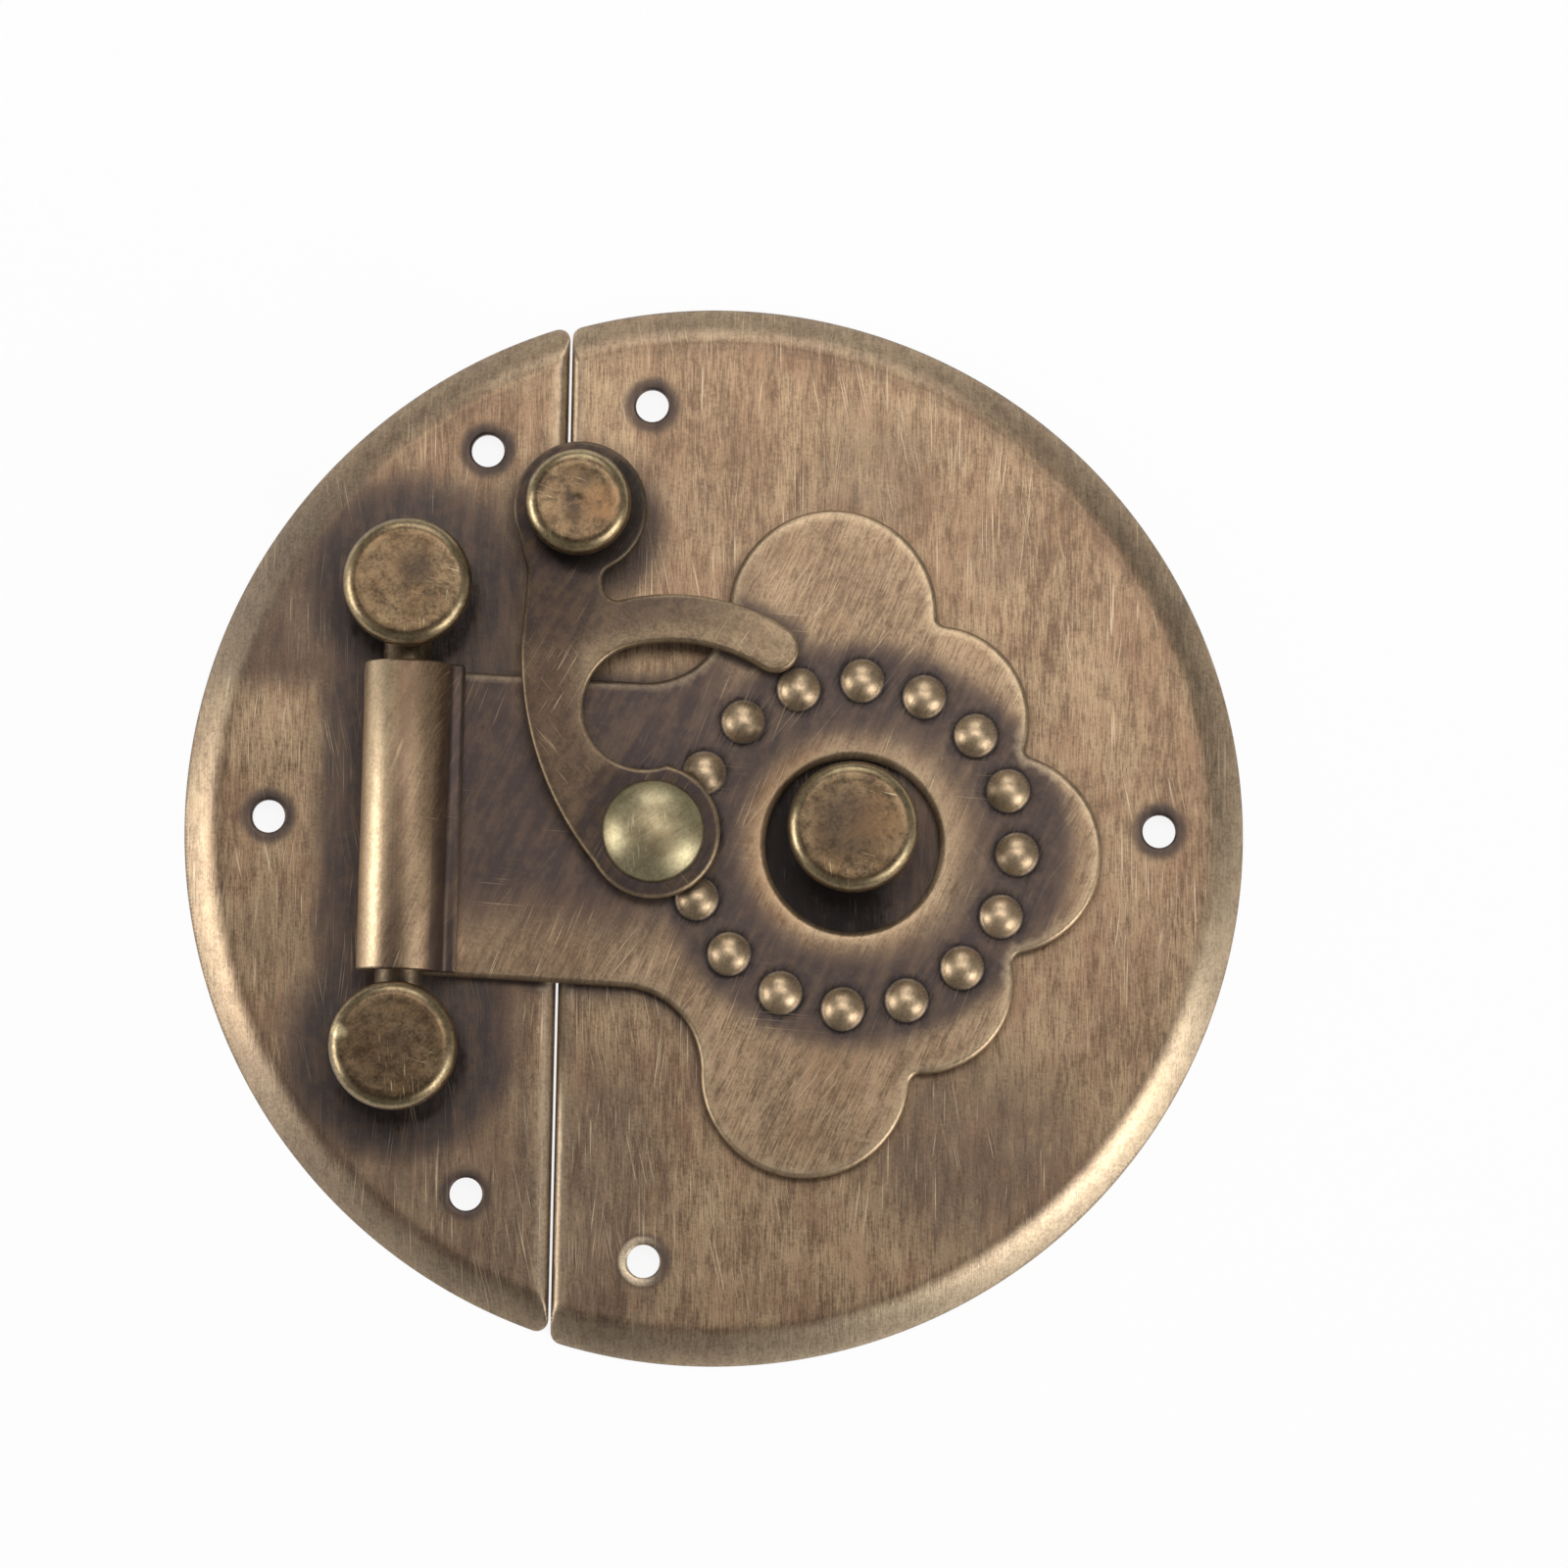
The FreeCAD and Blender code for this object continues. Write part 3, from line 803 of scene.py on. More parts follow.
def lever_outline():
    """Anticlockwise outline, from the pad round the back, the eye, the recess and the arm."""
    eye = point(0, 0)
    pad = point(0, pad_reach)
    arm_at = point(*arm)
    back_at = point(back[0], back[1])
    back_r = back[2]
    recess = polar(arm_inner_r - recess_r, 90 - recess_end, arm)
    tip = polar((arm_inner_r + arm_outer_r) / 2, 90 - arm_end, arm)
    tip_r = (arm_outer_r - arm_inner_r) / 2
    side = waist_right + notch_fillet
    low_notch = point(side, arm[1] + math.sqrt((arm_outer_r + notch_fillet) ** 2 - (side - arm[0]) ** 2))
    high_notch = point(side, pad_reach - math.sqrt((pad_r + notch_fillet) ** 2 - side ** 2))
    low_side = point(waist_right, low_notch[1])
    high_side = point(waist_right, high_notch[1])
    pad_right = toward(pad, high_notch, pad_r)
    pad_left = point(waist_left, pad_reach - math.sqrt(pad_r ** 2 - waist_left ** 2))
    bend = point(waist_left, pad_reach - waist_turn)
    away = bend - back_at
    turn = math.atan2(away[1], away[0]) + math.acos(back_r / np.linalg.norm(away))
    leave = polar(back_r, math.degrees(turn), back_at)
    back_eye = meet(eye, eye_r, back_at, back_r, point(0, -eye_r))
    eye_recess = meet(eye, eye_r, recess, recess_r, point(-eye_r, eye_r))
    recess_top = toward(arm_at, recess, arm_inner_r)
    tip_in = toward(arm_at, tip, arm_inner_r)
    tip_out = toward(arm_at, tip, arm_outer_r)
    arm_notch = toward(arm_at, low_notch, arm_outer_r)
    parts = [
        arc(pad, pad_right, pad_left),
        line(pad_left, bend),
        line(bend, leave),
        arc(back_at, leave, back_eye),
        arc(eye, back_eye, eye_recess),
        arc(recess, eye_recess, recess_top, -1),
        arc(arm_at, recess_top, tip_in, -1),
        arc(tip, tip_in, tip_out),
        arc(arm_at, tip_out, arm_notch),
        arc(low_notch, arm_notch, low_side, -1),
        line(low_side, high_side),
        arc(high_notch, high_side, pad_right, -1),
    ]
    return np.concatenate(parts)


def hook_lever():
    shell = Shell()
    outline = lever_outline()
    bevel = 0.1
    steps = [(bevel, lever_z), (0.0, lever_z + bevel)] + rounding(0.4, lever_top)
    walls = [shell.wall(outline, steps)]
    for radius, y, flare in ((rivet_r + rivet_play, 0, 0.05), (knob_shank_r, pad_reach, knob_tail)):
        steps = [(-flare, lever_z), (0.0, lever_z + flare), (0.0, lever_top)]
        walls.append(shell.wall(circle(radius, 0, y), steps))
    extra = flat_grid(outline, [(0, 0, rivet_r), (0, pad_reach, knob_shank_r)], 0.75)
    under, over = zip(*walls)
    shell.fill(over, True, shell.add(extra, lever_top))
    shell.fill(under, False, shell.add(extra, lever_z))
    return shell.piece("lever", lever_place)


# Patina and painted light: how dark (patina and painted shade), how rubbed or painted bright and how warm
# each spot of a piece is

def mark(thing, name, values):
    """Keep one value per vertex for the material."""
    layer = thing.data.attributes.new(name, "FLOAT", "POINT")
    layer.data.foreach_set("value", np.full(len(thing.data.vertices), values, np.float32))


def vertex_data(thing, kind):
    flat = np.empty(len(thing.data.vertices) * 3)
    thing.data.vertices.foreach_get(kind, flat)
    return flat.reshape(-1, 3)


def spots_of(thing):
    return vertex_data(thing, "co") / MM


def tilt_of(thing):
    """How far each spot faces up: 1 on a level top, -1 on the underside."""
    return vertex_data(thing, "normal")[:, 2]


def to_hasp(spots):
    """From the latch's frame back to the flap's."""
    return spin(spots[:, :2] - point(hinge_x, hinge_y), hinge_lean + hasp_skew)


def to_lever(spots):
    return spin(spots[:, :2] - rivet_centre(), 90 - lever_open)


def signed_gap(flat, loop):
    gap = distance_to(flat, loop)
    return np.where(inside(flat, loop), -gap, gap)


def either(*shares):
    """The strongest of several stains."""
    return np.max(np.broadcast_arrays(*shares), axis=0)


def brim_glint(flat, x, y):
    """Painted glint on the left side of a nail hole's brim."""
    off_brim = np.abs(apart(flat, x, y) - nail_r - 0.3)
    return smooth(0.5, 0.2, off_brim) * smooth(-1, 2, x + 1 - flat[:, 0])


# Patina of a plate, with painted shadows and highlights
def plate_patina_and_painted_light(thing, nails):
    flat = spots_of(thing)[:, :2]
    x, y = flat[:, 0], flat[:, 1]
    radius = apart(flat)
    hinge = spin(flat - point(hinge_x, hinge_y), hinge_lean)
    across, along = hinge[:, 0], np.abs(hinge[:, 1])
    feet = np.array(post_centres())
    posts = smooth(13.2, 6.6, nearest(flat, feet))
    # Painted contact shadows: near black just below each post head
    post_shadows = smooth(7.6, 5.2, nearest(flat, feet - point(0, 0.9))) * 1.35
    beside = smooth(-10.0, -5.2, across) * smooth(13.5, 6.5, across) * smooth(25, 19, along)
    flap = to_hasp(flat)
    aside = flap[:, 0] - boss_x
    boss_gap = apart(flap, boss_x)
    # Painted shadow with patina on the plate inside the hasp's hole, near black on its left
    inner = smooth(hole_r + 2.5, hole_r + 1.0, boss_gap) * (1.5 - 0.7 * smooth(1, 6, aside))
    to_flap = signed_gap(flap, hasp_outline())
    near_neck = smooth(6, -10, x)
    # Painted shadow of the hasp on the plate just past its outline, wider along the neck, with patina
    under_flap = smooth(1.5, -0.5, to_flap) * (0.3 + 0.4 * near_neck)
    shade = under_flap + smooth(5.0, -0.5, to_flap) * 0.35 * near_neck
    knob_x, knob_y = knob_centre()
    # Painted shadow of the pad and knob on the plate, strongest just below the knob
    below_knob = smooth(9.2, 5.6, apart(flat, knob_x, knob_y - 0.8))
    below_knob *= 0.75 - 0.35 * smooth(-1, 5, y - knob_y)
    left_of_lever = smooth(-12.5, -16.5, x) * smooth(9, 14, y) * smooth(33, 26, y)
    places = nail_places(nails)
    halo = smooth(nail_r + halo_reach, nail_r + 0.35, nearest(flat, places))
    # Painted shade: a dark line along the start of the rim's bend, stronger towards the top
    bend_shade = np.exp(-((radius - 41.5) / 0.45) ** 2) * (0.12 + 0.18 * smooth(-10, 30, y))
    outermost = smooth(44.6, 44.95, radius) * 0.3
    # Painted shade darker towards the bottom and the lower left, where the light falls off, plus soft
    # darker patches
    falloff_shade_and_patches = smooth(-10, -26, y) * (0.12 + 0.3 * smooth(-1, -8, x))
    for patch_x, patch_y, size, share in darker_patches:
        falloff_shade_and_patches += share * smooth(size, size * 0.3, apart(flat, patch_x, patch_y))
    stains_and_shade = (posts, post_shadows, beside * 0.92, inner, shade, below_knob, left_of_lever * 0.6)
    mark(thing, "dark", either(*stains_and_shade, halo * 0.85, bend_shade, outermost, falloff_shade_and_patches))
    seam = smooth(1.5, 0.5, np.abs(x - seam_x)) * 0.45
    # Rim rubbed all round, plus a painted highlight towards the lower right, where the key light falls
    wear_and_sheen = smooth(0.55, 0.95, np.cos(np.arctan2(y, x) - math.radians(315)))
    rim = smooth(41.7, 43.0, radius) * (0.35 + 0.35 * wear_and_sheen)
    # Painted glint on one side of one catch-plate nail hole's brim
    brim = brim_glint(flat, *places[2]) if nails is catch_nails else 0.0
    mark(thing, "rub_and_sheen", either(seam, rim, brim))
    mark(thing, "warm", inner * smooth(3, 6, np.abs(aside)) * 0.8)


# Patina of the hasp, with painted shadows and highlights
def hasp_patina_and_painted_light(thing):
    spots = spots_of(thing)
    top = spots[:, 2]
    flat = to_hasp(spots)
    x, y = flat[:, 0], flat[:, 1]
    aside = x - boss_x
    gap = apart(flat, boss_x)
    nose = np.clip(aside / np.maximum(gap, 0.1), 0, 1) ** 6
    outer = 16.8 + 1.6 * nose
    inner = smooth(7.3, 11.2, gap) * (0.94 - 0.25 * smooth(0, 9, aside) * smooth(13, 11, gap))
    annulus = inner * smooth(outer + 2.0, outer - 1.4, gap)
    neck = smooth(31, 23, x) * (0.96 - 0.75 * smooth(-3, -11, y)) + 0.1 * smooth(10, 5, x)
    upper_tan = smooth(3.2, 0.8, apart(flat, 10.5, 10.5)) * 0.6
    lower_tan = smooth(1.0, 0.5, apart(flat, 4.9, -10.6))
    neck = np.maximum(neck - either(upper_tan, lower_tan), 0)
    bead_gap = nearest(flat, bead_places())
    # Painted shade: a near-black ring round the foot of each bead
    bead_foot_shade = smooth(2.6, 1.95, bead_gap) * 1.45
    round_bead = smooth(4.2, 2.0, bead_gap) * (0.65 + 0.3 * nose)
    to_hook = signed_gap(to_lever(spots), lever_outline())
    # Painted shadow of the lever on the hasp's top, with patina, darkest by the eye
    lever_shadow_and_patina = smooth(2.2, -0.4, to_hook) * (0.9 + 0.6 * smooth(7, 5, apart(flat, 24, 4)))
    lever_shadow_and_patina *= smooth(hasp_z + 0.3, hasp_top - 0.3, top)
    on_bead = smooth(1.85, 1.6, bead_gap)
    dark = either(annulus, neck, bead_foot_shade, round_bead, lever_shadow_and_patina) * (1 - 0.93 * on_bead)
    raised = top > hasp_top + 0.3
    lap_start = barrel_r - 0.35
    rolled = raised & (x < lap_start)
    lap = raised & (x >= lap_start) & (x < barrel_r + lap_length + 0.3)
    # Painted shade on the rolled barrel: a dark stripe along the middle of its top and down its right side
    barrel_shade = 0.12 + 0.4 * np.exp(-(x / 0.9) ** 2) + 0.35 * smooth(2.2, 3.3, x)
    mark(thing, "dark", np.select([rolled, lap], [barrel_shade, 0.9], dark))
    edge = np.abs(signed_gap(flat, hasp_outline()))
    outer_edge = smooth(0.9, 0.3, edge) * (top > hasp_top - 0.6) * (0.25 + 0.35 * smooth(20, 30, x))
    hole_edge = smooth(8.6, 8.0, gap) * (gap > hole_r - 0.1) * (top > hasp_top - 0.7) * 0.35
    flap_rub = either(outer_edge, hole_edge, on_bead * 0.7)
    # Painted highlights on the rolled barrel: its left side and a band right of its top
    barrel_sheen = smooth(-0.6, -1.8, x) + 0.35 * np.exp(-((x - 1.6) / 0.7) ** 2)
    rub_and_sheen = np.select([rolled, lap], [barrel_sheen, 0.0], flap_rub)
    mark(thing, "rub_and_sheen", rub_and_sheen * (tilt_of(thing) > -0.2))
    hole_warm = smooth(9.6, 8.2, gap) * smooth(-2, -6, aside) * 0.7
    mark(thing, "warm", either(hole_warm, neck * smooth(21, 14, x) * 0.42))


def lever_patina_and_shade(thing):
    spots = spots_of(thing)
    flat = to_lever(spots)
    x, y = flat[:, 0], flat[:, 1]
    edge = distance_to(flat, lever_outline())
    eye_gap = apart(flat)
    eye = smooth(7.8, 5.2, eye_gap) * 1.1
    pad = smooth(8.0, 5.0, apart(flat, 0, pad_reach))
    # Painted shadow, near black, just below and right of the knob
    knob_shadow = smooth(6.4, 4.8, apart(flat, 0.8, pad_reach - 0.7)) * 1.4
    waist = smooth(13.5, 20.5, y) * 0.85
    spine = smooth(3.0, -3.0, x) * 0.35
    mark(thing, "dark", either(eye, pad, knob_shadow, waist, spine, 0.05))
    inner = smooth(3.4, 0.8, edge) * smooth(-5, -2, x) * smooth(6.5, 9.5, eye_gap) * 0.35
    tip = smooth(6.5, 13, x) * 0.3
    corner = smooth(0.4, 0.1, edge) * smooth(0.4, 0.9, spots[:, 2] - lever_z) * 0.8
    mark(thing, "rub_and_sheen", either(inner * (1 - waist), tip, corner) * (1 - pad * 0.7))


def turned_patina_and_shade(thing, x, y, neck_top, rubbed, patches=(), nicks=()):
    """Painted shade with patina round the neck under the head, dark patches, rubbed on the rounded edge,
    bare at its nicks.
    """
    spots = spots_of(thing)
    tilt = tilt_of(thing)
    # Painted shade, with patina, on the neck under the head
    dark = smooth(neck_top + 1.6, neck_top + 0.2, spots[:, 2])
    for aside, up, size, share in patches:
        patch = smooth(size, size * 0.3, apart(spots, x + aside, y + up)) * share
        dark = either(dark, patch * (tilt > 0.9))
    mark(thing, "dark", dark)
    rub_and_sheen = smooth(0.3, 0.6, tilt) * smooth(0.99, 0.85, tilt) * rubbed
    for reach, degrees, size in nicks:
        nick = smooth(size, size * 0.4, apart(spots, *polar(reach, degrees, (x, y)))) * 1.6
        rub_and_sheen = either(rub_and_sheen, nick * (tilt > 0.2))
    mark(thing, "rub_and_sheen", rub_and_sheen)


def warm_spot(thing, x, y, size, core, share):
    mark(thing, "warm", smooth(size, core, apart(spots_of(thing), x, y)) * share)


# Materials

class Nodes:
    """Short calls for the node tree of one material."""

    def __init__(self, name):
        self.material = bpy.data.materials.new(name)
        self.material.use_nodes = True
        self.tree = self.material.node_tree
        self.tree.nodes.clear()

    def make(self, kind, sockets=None, **settings):
        """A node; its sockets take numbers, colours or the results of other nodes."""
        node = self.tree.nodes.new(kind)
        for key, value in settings.items():
            setattr(node, key, value)
        for key, value in (sockets or {}).items():
            if isinstance(value, (int, float, tuple)):
                node.inputs[key].default_value = value
            else:
                self.tree.links.new(value, node.inputs[key])
        return node

    def math(self, kind, first, second, clamp=False):
        sockets = {0: first, 1: second}
        return self.make("ShaderNodeMath", sockets, operation=kind, use_clamp=clamp).outputs[0]

    def plus(self, first, second):
        return self.math("ADD", first, second)

    def times(self, first, second):
        return self.math("MULTIPLY", first, second)

    def total(self, first, first_share, second, second_share):
        return self.plus(self.times(first, first_share), self.times(second, second_share))

    def swing(self, pattern, amount):
        """A pattern's swing about its middle."""
        return self.times(self.math("SUBTRACT", pattern, 0.5), amount)

    def spread(self, value, low, high, out_low=0.0, out_high=1.0):
        """Smooth step from low to high."""
        sockets = {"Value": value, "From Min": low, "From Max": high, "To Min": out_low, "To Max": out_high}
        node = self.make("ShaderNodeMapRange", sockets, interpolation_type="SMOOTHSTEP")
        return node.outputs["Result"]

    def blend(self, share, first, second):
        sockets = {0: share, 6: first, 7: second}
        return self.make("ShaderNodeMix", sockets, data_type="RGBA").outputs[2]

    def value_of(self, name):
        return self.make("ShaderNodeAttribute", attribute_name=name).outputs["Fac"]

    def noise(self, turn, stretch, detail=2.0, rough=0.5, warp=0.0):
        """Cloudy pattern turned about Z; stretch gives its cycles per millimetre."""
        sockets = {
            "Vector": self.make("ShaderNodeTexCoord").outputs["Object"],
            "Rotation": (0, 0, math.radians(-turn)),
        }
        turned_place = self.make("ShaderNodeMapping", sockets, vector_type="POINT")
        sockets = {"Vector": turned_place.outputs[0], "Scale": tuple(cycles / MM for cycles in stretch)}
        place = self.make("ShaderNodeMapping", sockets, vector_type="POINT")
        sockets = {"Vector": place.outputs[0], "Scale": 1.0, "Detail": detail, "Roughness": rough}
        sockets["Distortion"] = warp
        return self.make("ShaderNodeTexNoise", sockets, noise_dimensions="3D").outputs["Fac"]


def scratches(nodes, turn, thick, length, cover):
    """Thin lines in one direction, in bundles that a coarse pattern sets."""
    streaks = nodes.noise(turn, (1.0 / length, 0.5 / thick, 0.3), 1.5, 0.5, 0.12)
    where = nodes.noise(turn + 20, (0.14, 0.2, 0.1))
    return nodes.times(nodes.spread(streaks, 0.62, 0.72), nodes.spread(where, 0.98 - cover, 1.12 - cover))


def rgb(red, green, blue):
    """Colour as the eye reads it, 0 to 255, in linear light."""
    def linear(value):
        value /= 255
        return value / 12.92 if value <= 0.04045 else ((value + 0.055) / 1.055) ** 2.4
    return (linear(red), linear(green), linear(blue), 1.0)


# Near-black painted shadow, for contact shadows and crevices
shadow_black = rgb(30, 26, 25)


def brass(name, look):
    """Aged brass: streaks along the brushing, dark patina and painted shade where marked, rubbed edges and
    painted sheen.
    """
    nodes = Nodes(name)
    turn = look["turn"]
    fine = nodes.noise(turn + 1, look["fine"], 2.0, 0.6)
    broad = nodes.noise(turn - 1, look["broad"], 3.0, 0.6)
    grain = nodes.noise(0, (3.6, 3.6, 3.6), 3.0, 0.65)
    spots = nodes.noise(0, (0.8, 0.8, 0.8), 5.0, 0.68)
    cloud = nodes.noise(0, (0.1, 0.07, 0.09), 3.0, 0.55, 0.4)
    tone = 0.5
    for pattern, amount in zip((fine, broad, grain, spots, cloud), look["amounts"]):
        tone = nodes.plus(nodes.swing(pattern, amount), tone)

    hue = nodes.noise(25, (0.22, 0.16, 0.15), 5.0, 0.7, 0.2)
    high = nodes.blend(nodes.spread(hue, 0.38, 0.66), look["high"], look["warm"])
    base = nodes.blend(nodes.spread(tone, 0.0, 1.0), look["low"], high)
    tint = nodes.times(nodes.value_of("warm"), nodes.spread(spots, 0.3, 0.6, 0.3, 0.9))
    base = nodes.blend(tint, base, look["tint"])

    pits = nodes.total(grain, 0.65, spots, 0.35)
    mottle = nodes.total(spots, 0.55, broad, 0.45)
    stain_and_shade = nodes.blend(nodes.spread(mottle, 0.42, 0.62), look["stain_and_shade"], look["crust"])
    base = nodes.blend(nodes.spread(pits, 0.58, 0.68, 0.0, look["pits"]), base, stain_and_shade)

    ragged = nodes.plus(nodes.swing(spots, 0.9), nodes.swing(fine, 0.45))
    dark = nodes.value_of("dark")
    dark = nodes.plus(dark, nodes.times(ragged, nodes.spread(dark, 0.0, 0.35)))
    # Past 1 the dark mark turns to near-black painted shadow
    deep_shade = nodes.spread(dark, 1.0, 1.5, 0.0, 0.9)
    dark = nodes.spread(dark, 0.02, 0.98, 0.0, look["depth"])
    # The dark mark holds patina and painted shade alike; both blend to the stain colour
    base = nodes.blend(dark, base, stain_and_shade)
    base = nodes.blend(deep_shade, base, shadow_black)

    # Rubbed edges and painted highlights alike brighten towards the bright colour
    wear_and_sheen = nodes.total(grain, 0.7, spots, 0.5)
    kept = nodes.spread(wear_and_sheen, 0.48, 0.72, 0.6, 1.0)
    rub_and_sheen = nodes.math("MULTIPLY", nodes.value_of("rub_and_sheen"), kept, True)
    base = nodes.blend(rub_and_sheen, base, look["bright"])

    marks = 0.0
    for lean, thick, length, cover in look["marks"]:
        marks = nodes.math("MAXIMUM", scratches(nodes, turn + lean, thick, length, cover), marks)
    shown = nodes.times(marks, look["scratch"])
    shown = nodes.times(shown, nodes.spread(dark, 0.3, 0.9, 1.0, 0.35))
    base = nodes.blend(shown, base, look["bright"])

    rough = nodes.plus(nodes.times(fine, 0.16), look["rough"] - 0.08)
    rough = nodes.plus(rough, nodes.times(dark, 0.08))
    rough = nodes.math("SUBTRACT", rough, nodes.times(rub_and_sheen, 0.08), True)

    relief = nodes.total(fine, look["fine_relief"], grain, look["grain_relief"])
    relief = nodes.math("SUBTRACT", relief, nodes.times(marks, 0.25))
    bump = nodes.make("ShaderNodeBump", {"Strength": look["bump"], "Distance": 0.05 * MM, "Height": relief})
    shader = nodes.make("ShaderNodeBsdfPrincipled", {
        "Metallic": look["metal"],
        "Base Color": base,
        "Roughness": rough,
        "Normal": bump.outputs[0],
    })
    nodes.make("ShaderNodeOutputMaterial", {"Surface": shader.outputs[0]})
    return nodes.material


# Looks. turn is the brushing's direction in degrees; fine and broad are its streaks in cycles per
# millimetre; amounts are the shares of fine, broad, grain, spots and cloud in the tone; each of the
# marks is a bundle of scratches: direction from the brushing, thickness, length and cover.
plate_look = dict(
    turn=90.0, metal=0.85, rough=0.45, bump=0.4, scratch=0.6, pits=0.5, depth=0.95,
    fine=(0.6, 6.6, 1.0), broad=(0.16, 0.9, 0.5), fine_relief=0.8, grain_relief=0.6,
    amounts=(1.45, 1.0, 0.9, 0.7, 0.8),
    marks=[(1, 0.07, 7.0, 0.5), (13, 0.06, 11.0, 0.46), (-6, 0.06, 9.0, 0.45)],
    low=rgb(106, 84, 66), high=rgb(178, 152, 120), warm=rgb(160, 129, 102), tint=rgb(134, 96, 62),
    stain_and_shade=rgb(68, 61, 60), crust=rgb(92, 76, 67), bright=rgb(220, 199, 168),
)
hasp_look = dict(
    plate_look, turn=66.0,
    marks=[(4, 0.07, 7.0, 0.5), (-14, 0.06, 9.0, 0.45), (-70, 0.06, 10.0, 0.4)],
    low=rgb(106, 86, 68), high=rgb(176, 150, 120), warm=rgb(158, 130, 102),
    stain_and_shade=rgb(72, 62, 61), crust=rgb(96, 80, 70), bright=rgb(204, 180, 146),
)
lever_look = dict(
    plate_look, turn=60.0, fine_relief=0.3, grain_relief=0.8, pits=0.3,
    amounts=(0.4, 0.6, 0.8, 1.1, 0.6),
    marks=[(0, 0.06, 4.0, 0.45), (70, 0.06, 4.0, 0.42)],
    low=rgb(66, 53, 43), high=rgb(118, 97, 76), warm=rgb(102, 79, 62),
    stain_and_shade=rgb(62, 52, 50), crust=rgb(88, 71, 58), bright=rgb(190, 166, 132),
)
turned_look = dict(
    plate_look, turn=35.0, rough=0.36, bump=0.3, pits=0.8, fine_relief=0.25, grain_relief=0.5,
    amounts=(0.3, 0.4, 1.1, 1.9, 0.6),
    marks=[(-50, 0.06, 2.0, 0.42), (60, 0.06, 1.6, 0.42)],
    low=rgb(72, 57, 42), high=rgb(132, 110, 82), warm=rgb(122, 96, 68),
    stain_and_shade=rgb(52, 44, 42), crust=rgb(84, 66, 50), bright=rgb(206, 188, 146),
)
rivet_look = dict(
    turned_look, rough=0.43, metal=0.8, pits=0.25,
    amounts=(0.8, 0.5, 0.6, 1.0, 0.6),
    low=rgb(124, 110, 82), high=rgb(178, 163, 128), warm=rgb(156, 138, 104),
    stain_and_shade=rgb(110, 98, 72), crust=rgb(140, 126, 88), bright=rgb(220, 212, 170),
)


# Stage, light and camera

def floor():
    """Wide plain floor just below the latch, white to the eye, with the latch's shadow on it."""
    half = 600.0
    below = -0.02
    pale = 0.9
    shell = Shell()
    ring = shell.add([(-half, -half), (half, -half), (half, half), (-half, half)], below)
    shell.faces.append(tuple(ring))
    thing = shell.piece("floor")
    nodes = Nodes("floor_white")
    plain = nodes.make("ShaderNodeBsdfDiffuse", {"Color": (pale, pale, pale, 1)})
    glow = nodes.make("ShaderNodeEmission", {"Strength": 1.0})
    rays = nodes.make("ShaderNodeLightPath").outputs
    seen = nodes.math("MAXIMUM", rays["Is Camera Ray"], rays["Is Glossy Ray"])
    seen = nodes.math("MAXIMUM", seen, rays["Is Transmission Ray"])
    sockets = {0: nodes.times(seen, 0.9), 1: plain.outputs[0], 2: glow.outputs[0]}
    mix = nodes.make("ShaderNodeMixShader", sockets)
    nodes.make("ShaderNodeOutputMaterial", {"Surface": mix.outputs[0]})
    thing.data.materials.append(nodes.material)


def soft_light(name, azimuth, elevation, distance, wide, high, power):
    """Soft box that looks at the latch."""
    lamp = bpy.data.lights.new(name, "AREA")
    lamp.shape = "RECTANGLE"
    lamp.size = wide
    lamp.size_y = high
    lamp.energy = power
    thing = bpy.data.objects.new(name, lamp)
    a, e = math.radians(azimuth), math.radians(elevation)
    spot = Vector((math.cos(a) * math.cos(e), math.sin(a) * math.cos(e), math.sin(e))) * distance
    thing.location = spot
    thing.rotation_euler = (-spot).to_track_quat("-Z", "Y").to_euler()
    bpy.context.scene.collection.objects.link(thing)


def lights():
    soft_light("key", -42, 34, 0.7, 0.3, 0.3, 0.9)
    soft_light("low_right", -34, 20, 0.7, 0.4, 0.3, 1.7)
    soft_light("low_left", 186, 17, 0.7, 0.4, 0.3, 2.4)
    soft_light("high_left", 180, 50, 0.7, 0.3, 0.3, 0.2)
    soft_light("high_right", 8, 64, 0.7, 0.3, 0.3, 0.3)
    soft_light("back", 90, 35, 0.7, 0.5, 0.3, 1.4)
    soft_light("over", 78, 74, 0.33, 0.26, 0.1, 0.38)
    world = bpy.data.worlds.new("studio")
    world.use_nodes = True
    back = world.node_tree.nodes["Background"]
    back.inputs["Color"].default_value = (1, 1, 1, 1)
    back.inputs["Strength"].default_value = 0.1
    bpy.context.scene.world = world


def camera():
    lens = bpy.data.cameras.new("camera")
    lens.lens = 157.9
    lens.sensor_width = 36.0
    thing = bpy.data.objects.new("camera", lens)
    spot = Vector((14.03, -40.69, 583.06)) * MM
    aim = Vector((5.936, 4.505, 0.0)) * MM
    roll = math.radians(1.152)
    ahead = (aim - spot).normalized()
    up = Vector((-math.sin(roll), math.cos(roll), 0))
    up = (up - ahead * up.dot(ahead)).normalized()
    right = ahead.cross(up)
    thing.matrix_world = Matrix((
        (right.x, up.x, -ahead.x, spot.x),
        (right.y, up.y, -ahead.y, spot.y),
        (right.z, up.z, -ahead.z, spot.z),
        (0, 0, 0, 1),
    ))
    bpy.context.scene.collection.objects.link(thing)
    bpy.context.scene.camera = thing


bpy.context.scene.view_settings.view_transform = "Standard"
camera()
lights()
floor()

looks = {
    "plate_brass": plate_look,
    "hasp_brass": hasp_look,
    "lever_brass": lever_look,
    "turned_brass": turned_look,
    "rivet_brass": rivet_look,
}
finishes = {slot: brass(slot, look) for slot, look in looks.items()}


def dress(thing, body, slot, node):
    thing.data.materials.append(finishes[slot])
    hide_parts(node)
    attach(thing, body)


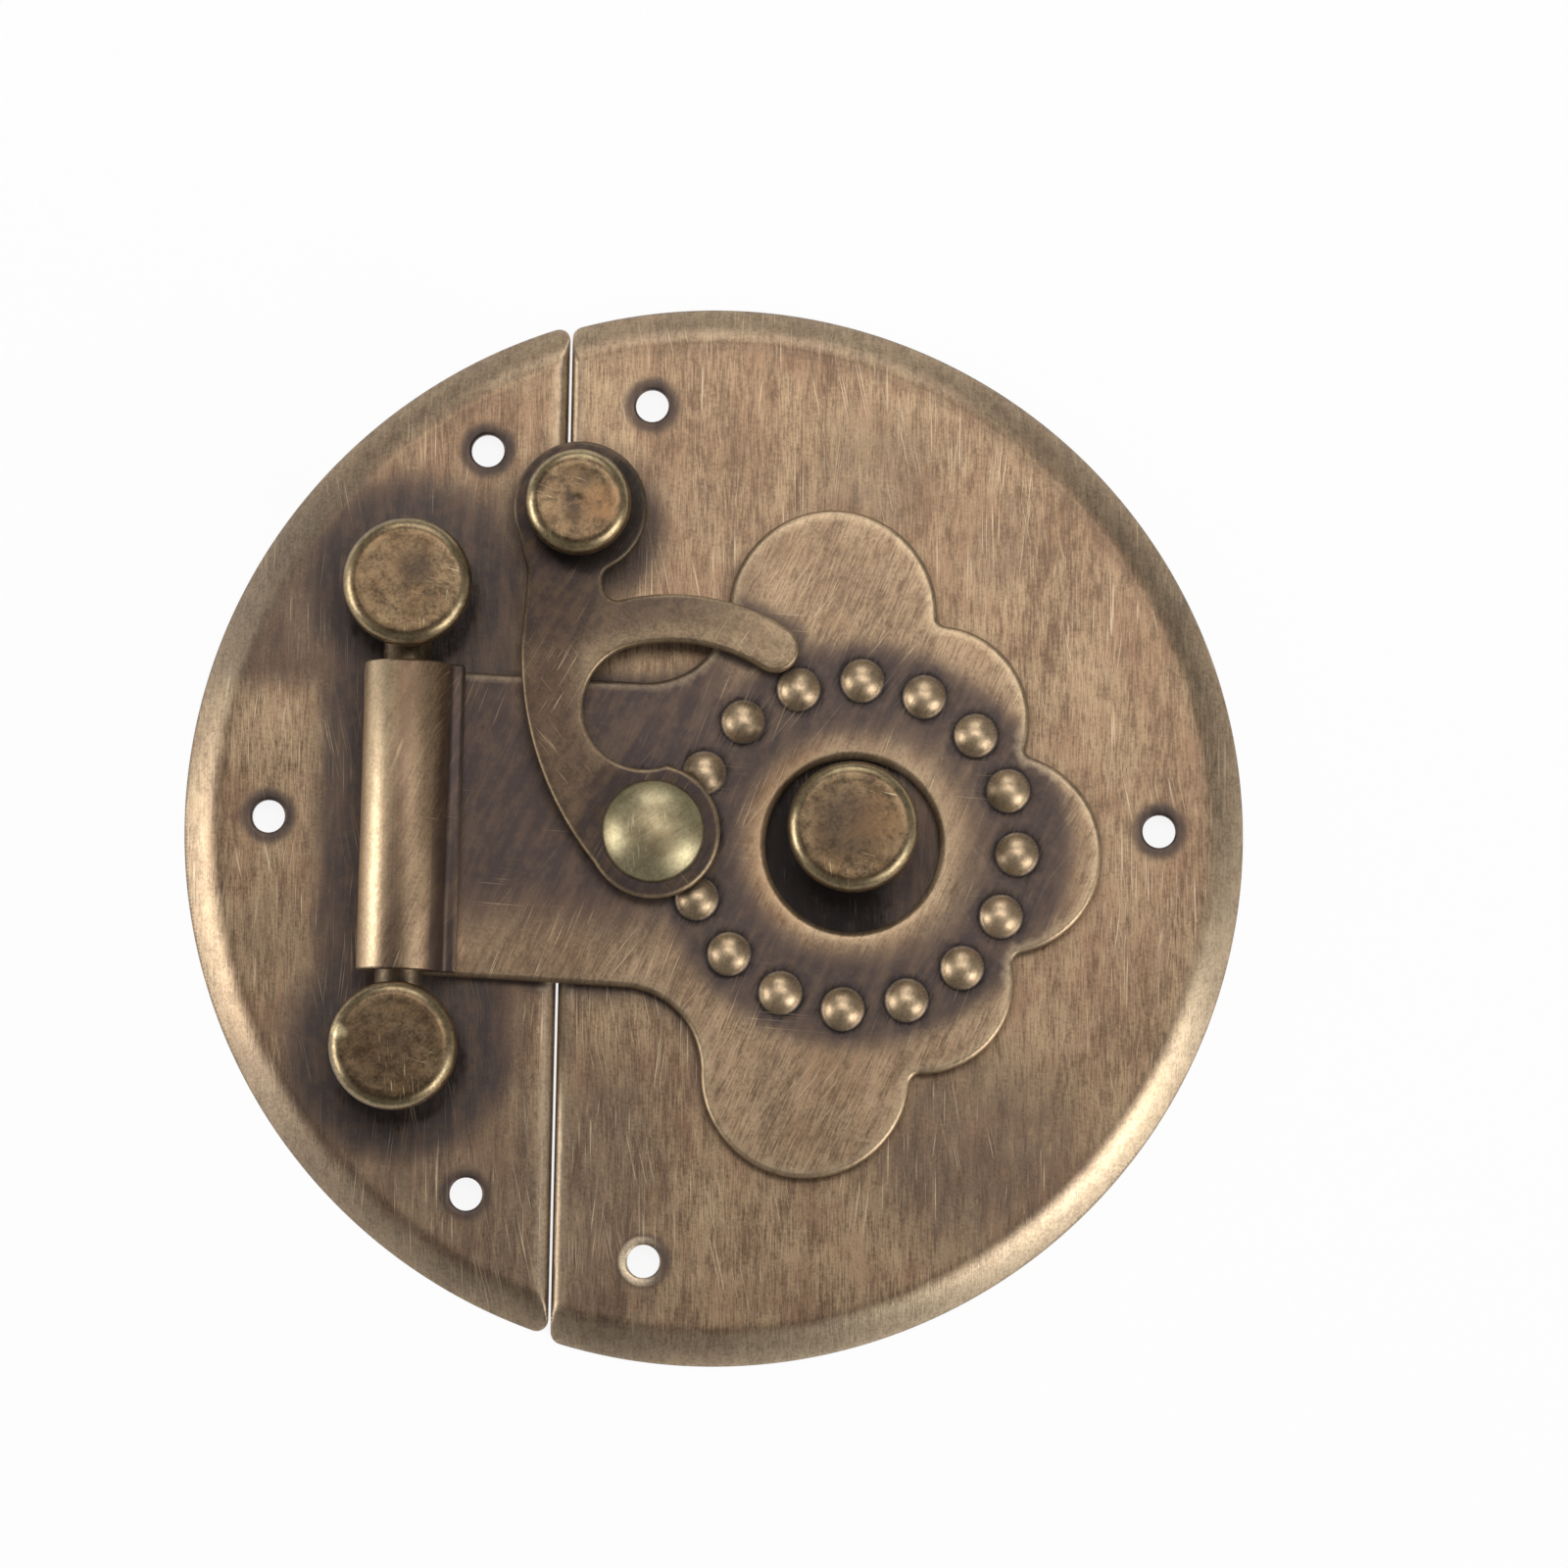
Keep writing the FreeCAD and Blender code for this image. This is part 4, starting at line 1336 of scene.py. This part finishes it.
left_plate = plate("plate_left", -1, hinge_nails, post_centres())
right_plate = plate("plate_right", 1, catch_nails, [(stud_x, stud_y)])
plate_patina_and_painted_light(left_plate, hinge_nails)
plate_patina_and_painted_light(right_plate, catch_nails)
dress(left_plate, "plates", "plate_brass", "hinge_plate")
dress(right_plate, "plates", "plate_brass", "catch_plate")

# Dark patches on a head: right, up, size and share. Nicks: reach, direction and size
upper_patches = [(0.6, 1.2, 2.4, 0.6), (1.6, 0.0, 1.4, 0.45)]
lower_patches = [(0.3, 0.2, 1.6, 0.45)]
lower_nicks = [(post_head_r - 0.7, 166, 0.8)]
stud_patches = [(-0.4, 0.2, 4.6, 0.5)]
knob_patches = [(-0.6, 0.2, 0.7, 0.9), (-0.3, -1.0, 1.2, 0.7), (0.4, 1.8, 1.2, 0.5)]

for (x, y), name, node, patches, nicks in zip(
    post_centres(),
    ("post_upper", "post_lower"),
    ("upper_hinge_post", "lower_hinge_post"),
    (upper_patches, lower_patches),
    ((), lower_nicks),
):
    post = riveted(name, post_r, post_head_r, post_head_z, x, y)
    turned_patina_and_shade(post, x, y, post_head_z, 0.4, patches, nicks)
    dress(post, "plates", "turned_brass", node)
pin = hinge_pin()
mark(pin, "dark", 0.35 + 0.5 * smooth(-5, -12, spots_of(pin)[:, 1]))
mark(pin, "rub_and_sheen", 0.1)
dress(pin, "plates", "turned_brass", "hinge_pin")
stud = riveted("stud", stud_r, stud_head_r, stud_head_z, stud_x, stud_y)
turned_patina_and_shade(stud, stud_x, stud_y, stud_head_z, 0.5, stud_patches)
warm_spot(stud, stud_x + 1.8, stud_y + 0.6, 3.0, 1.0, 0.4)
dress(stud, "plates", "turned_brass", "catch_stud")

sheet = hasp()
hasp_patina_and_painted_light(sheet)
dress(sheet, "hasp", "hasp_brass", "hasp")
rivet = pivot_rivet()
turned_patina_and_shade(rivet, *rivet_centre(), lever_top - 1.4, 0.3)
dress(rivet, "hasp", "rivet_brass", "pivot_rivet")
washer = pivot_washer()
# Painted shade: the washer under the lever is dark all over
turned_patina_and_shade(washer, *rivet_centre(), hasp_top + 2, 0.0)
dress(washer, "hasp", "turned_brass", "pivot_washer")

lever = hook_lever()
lever_patina_and_shade(lever)
dress(lever, "hook", "lever_brass", "hook_lever")
knob = pull_knob()
knob_x, knob_y = knob_centre()
turned_patina_and_shade(knob, knob_x, knob_y, knob_head_z, 0.5, knob_patches)
warm_spot(knob, knob_x + 2.0, knob_y - 0.2, 2.2, 0.8, 0.5)
dress(knob, "hook", "turned_brass", "pull_knob")
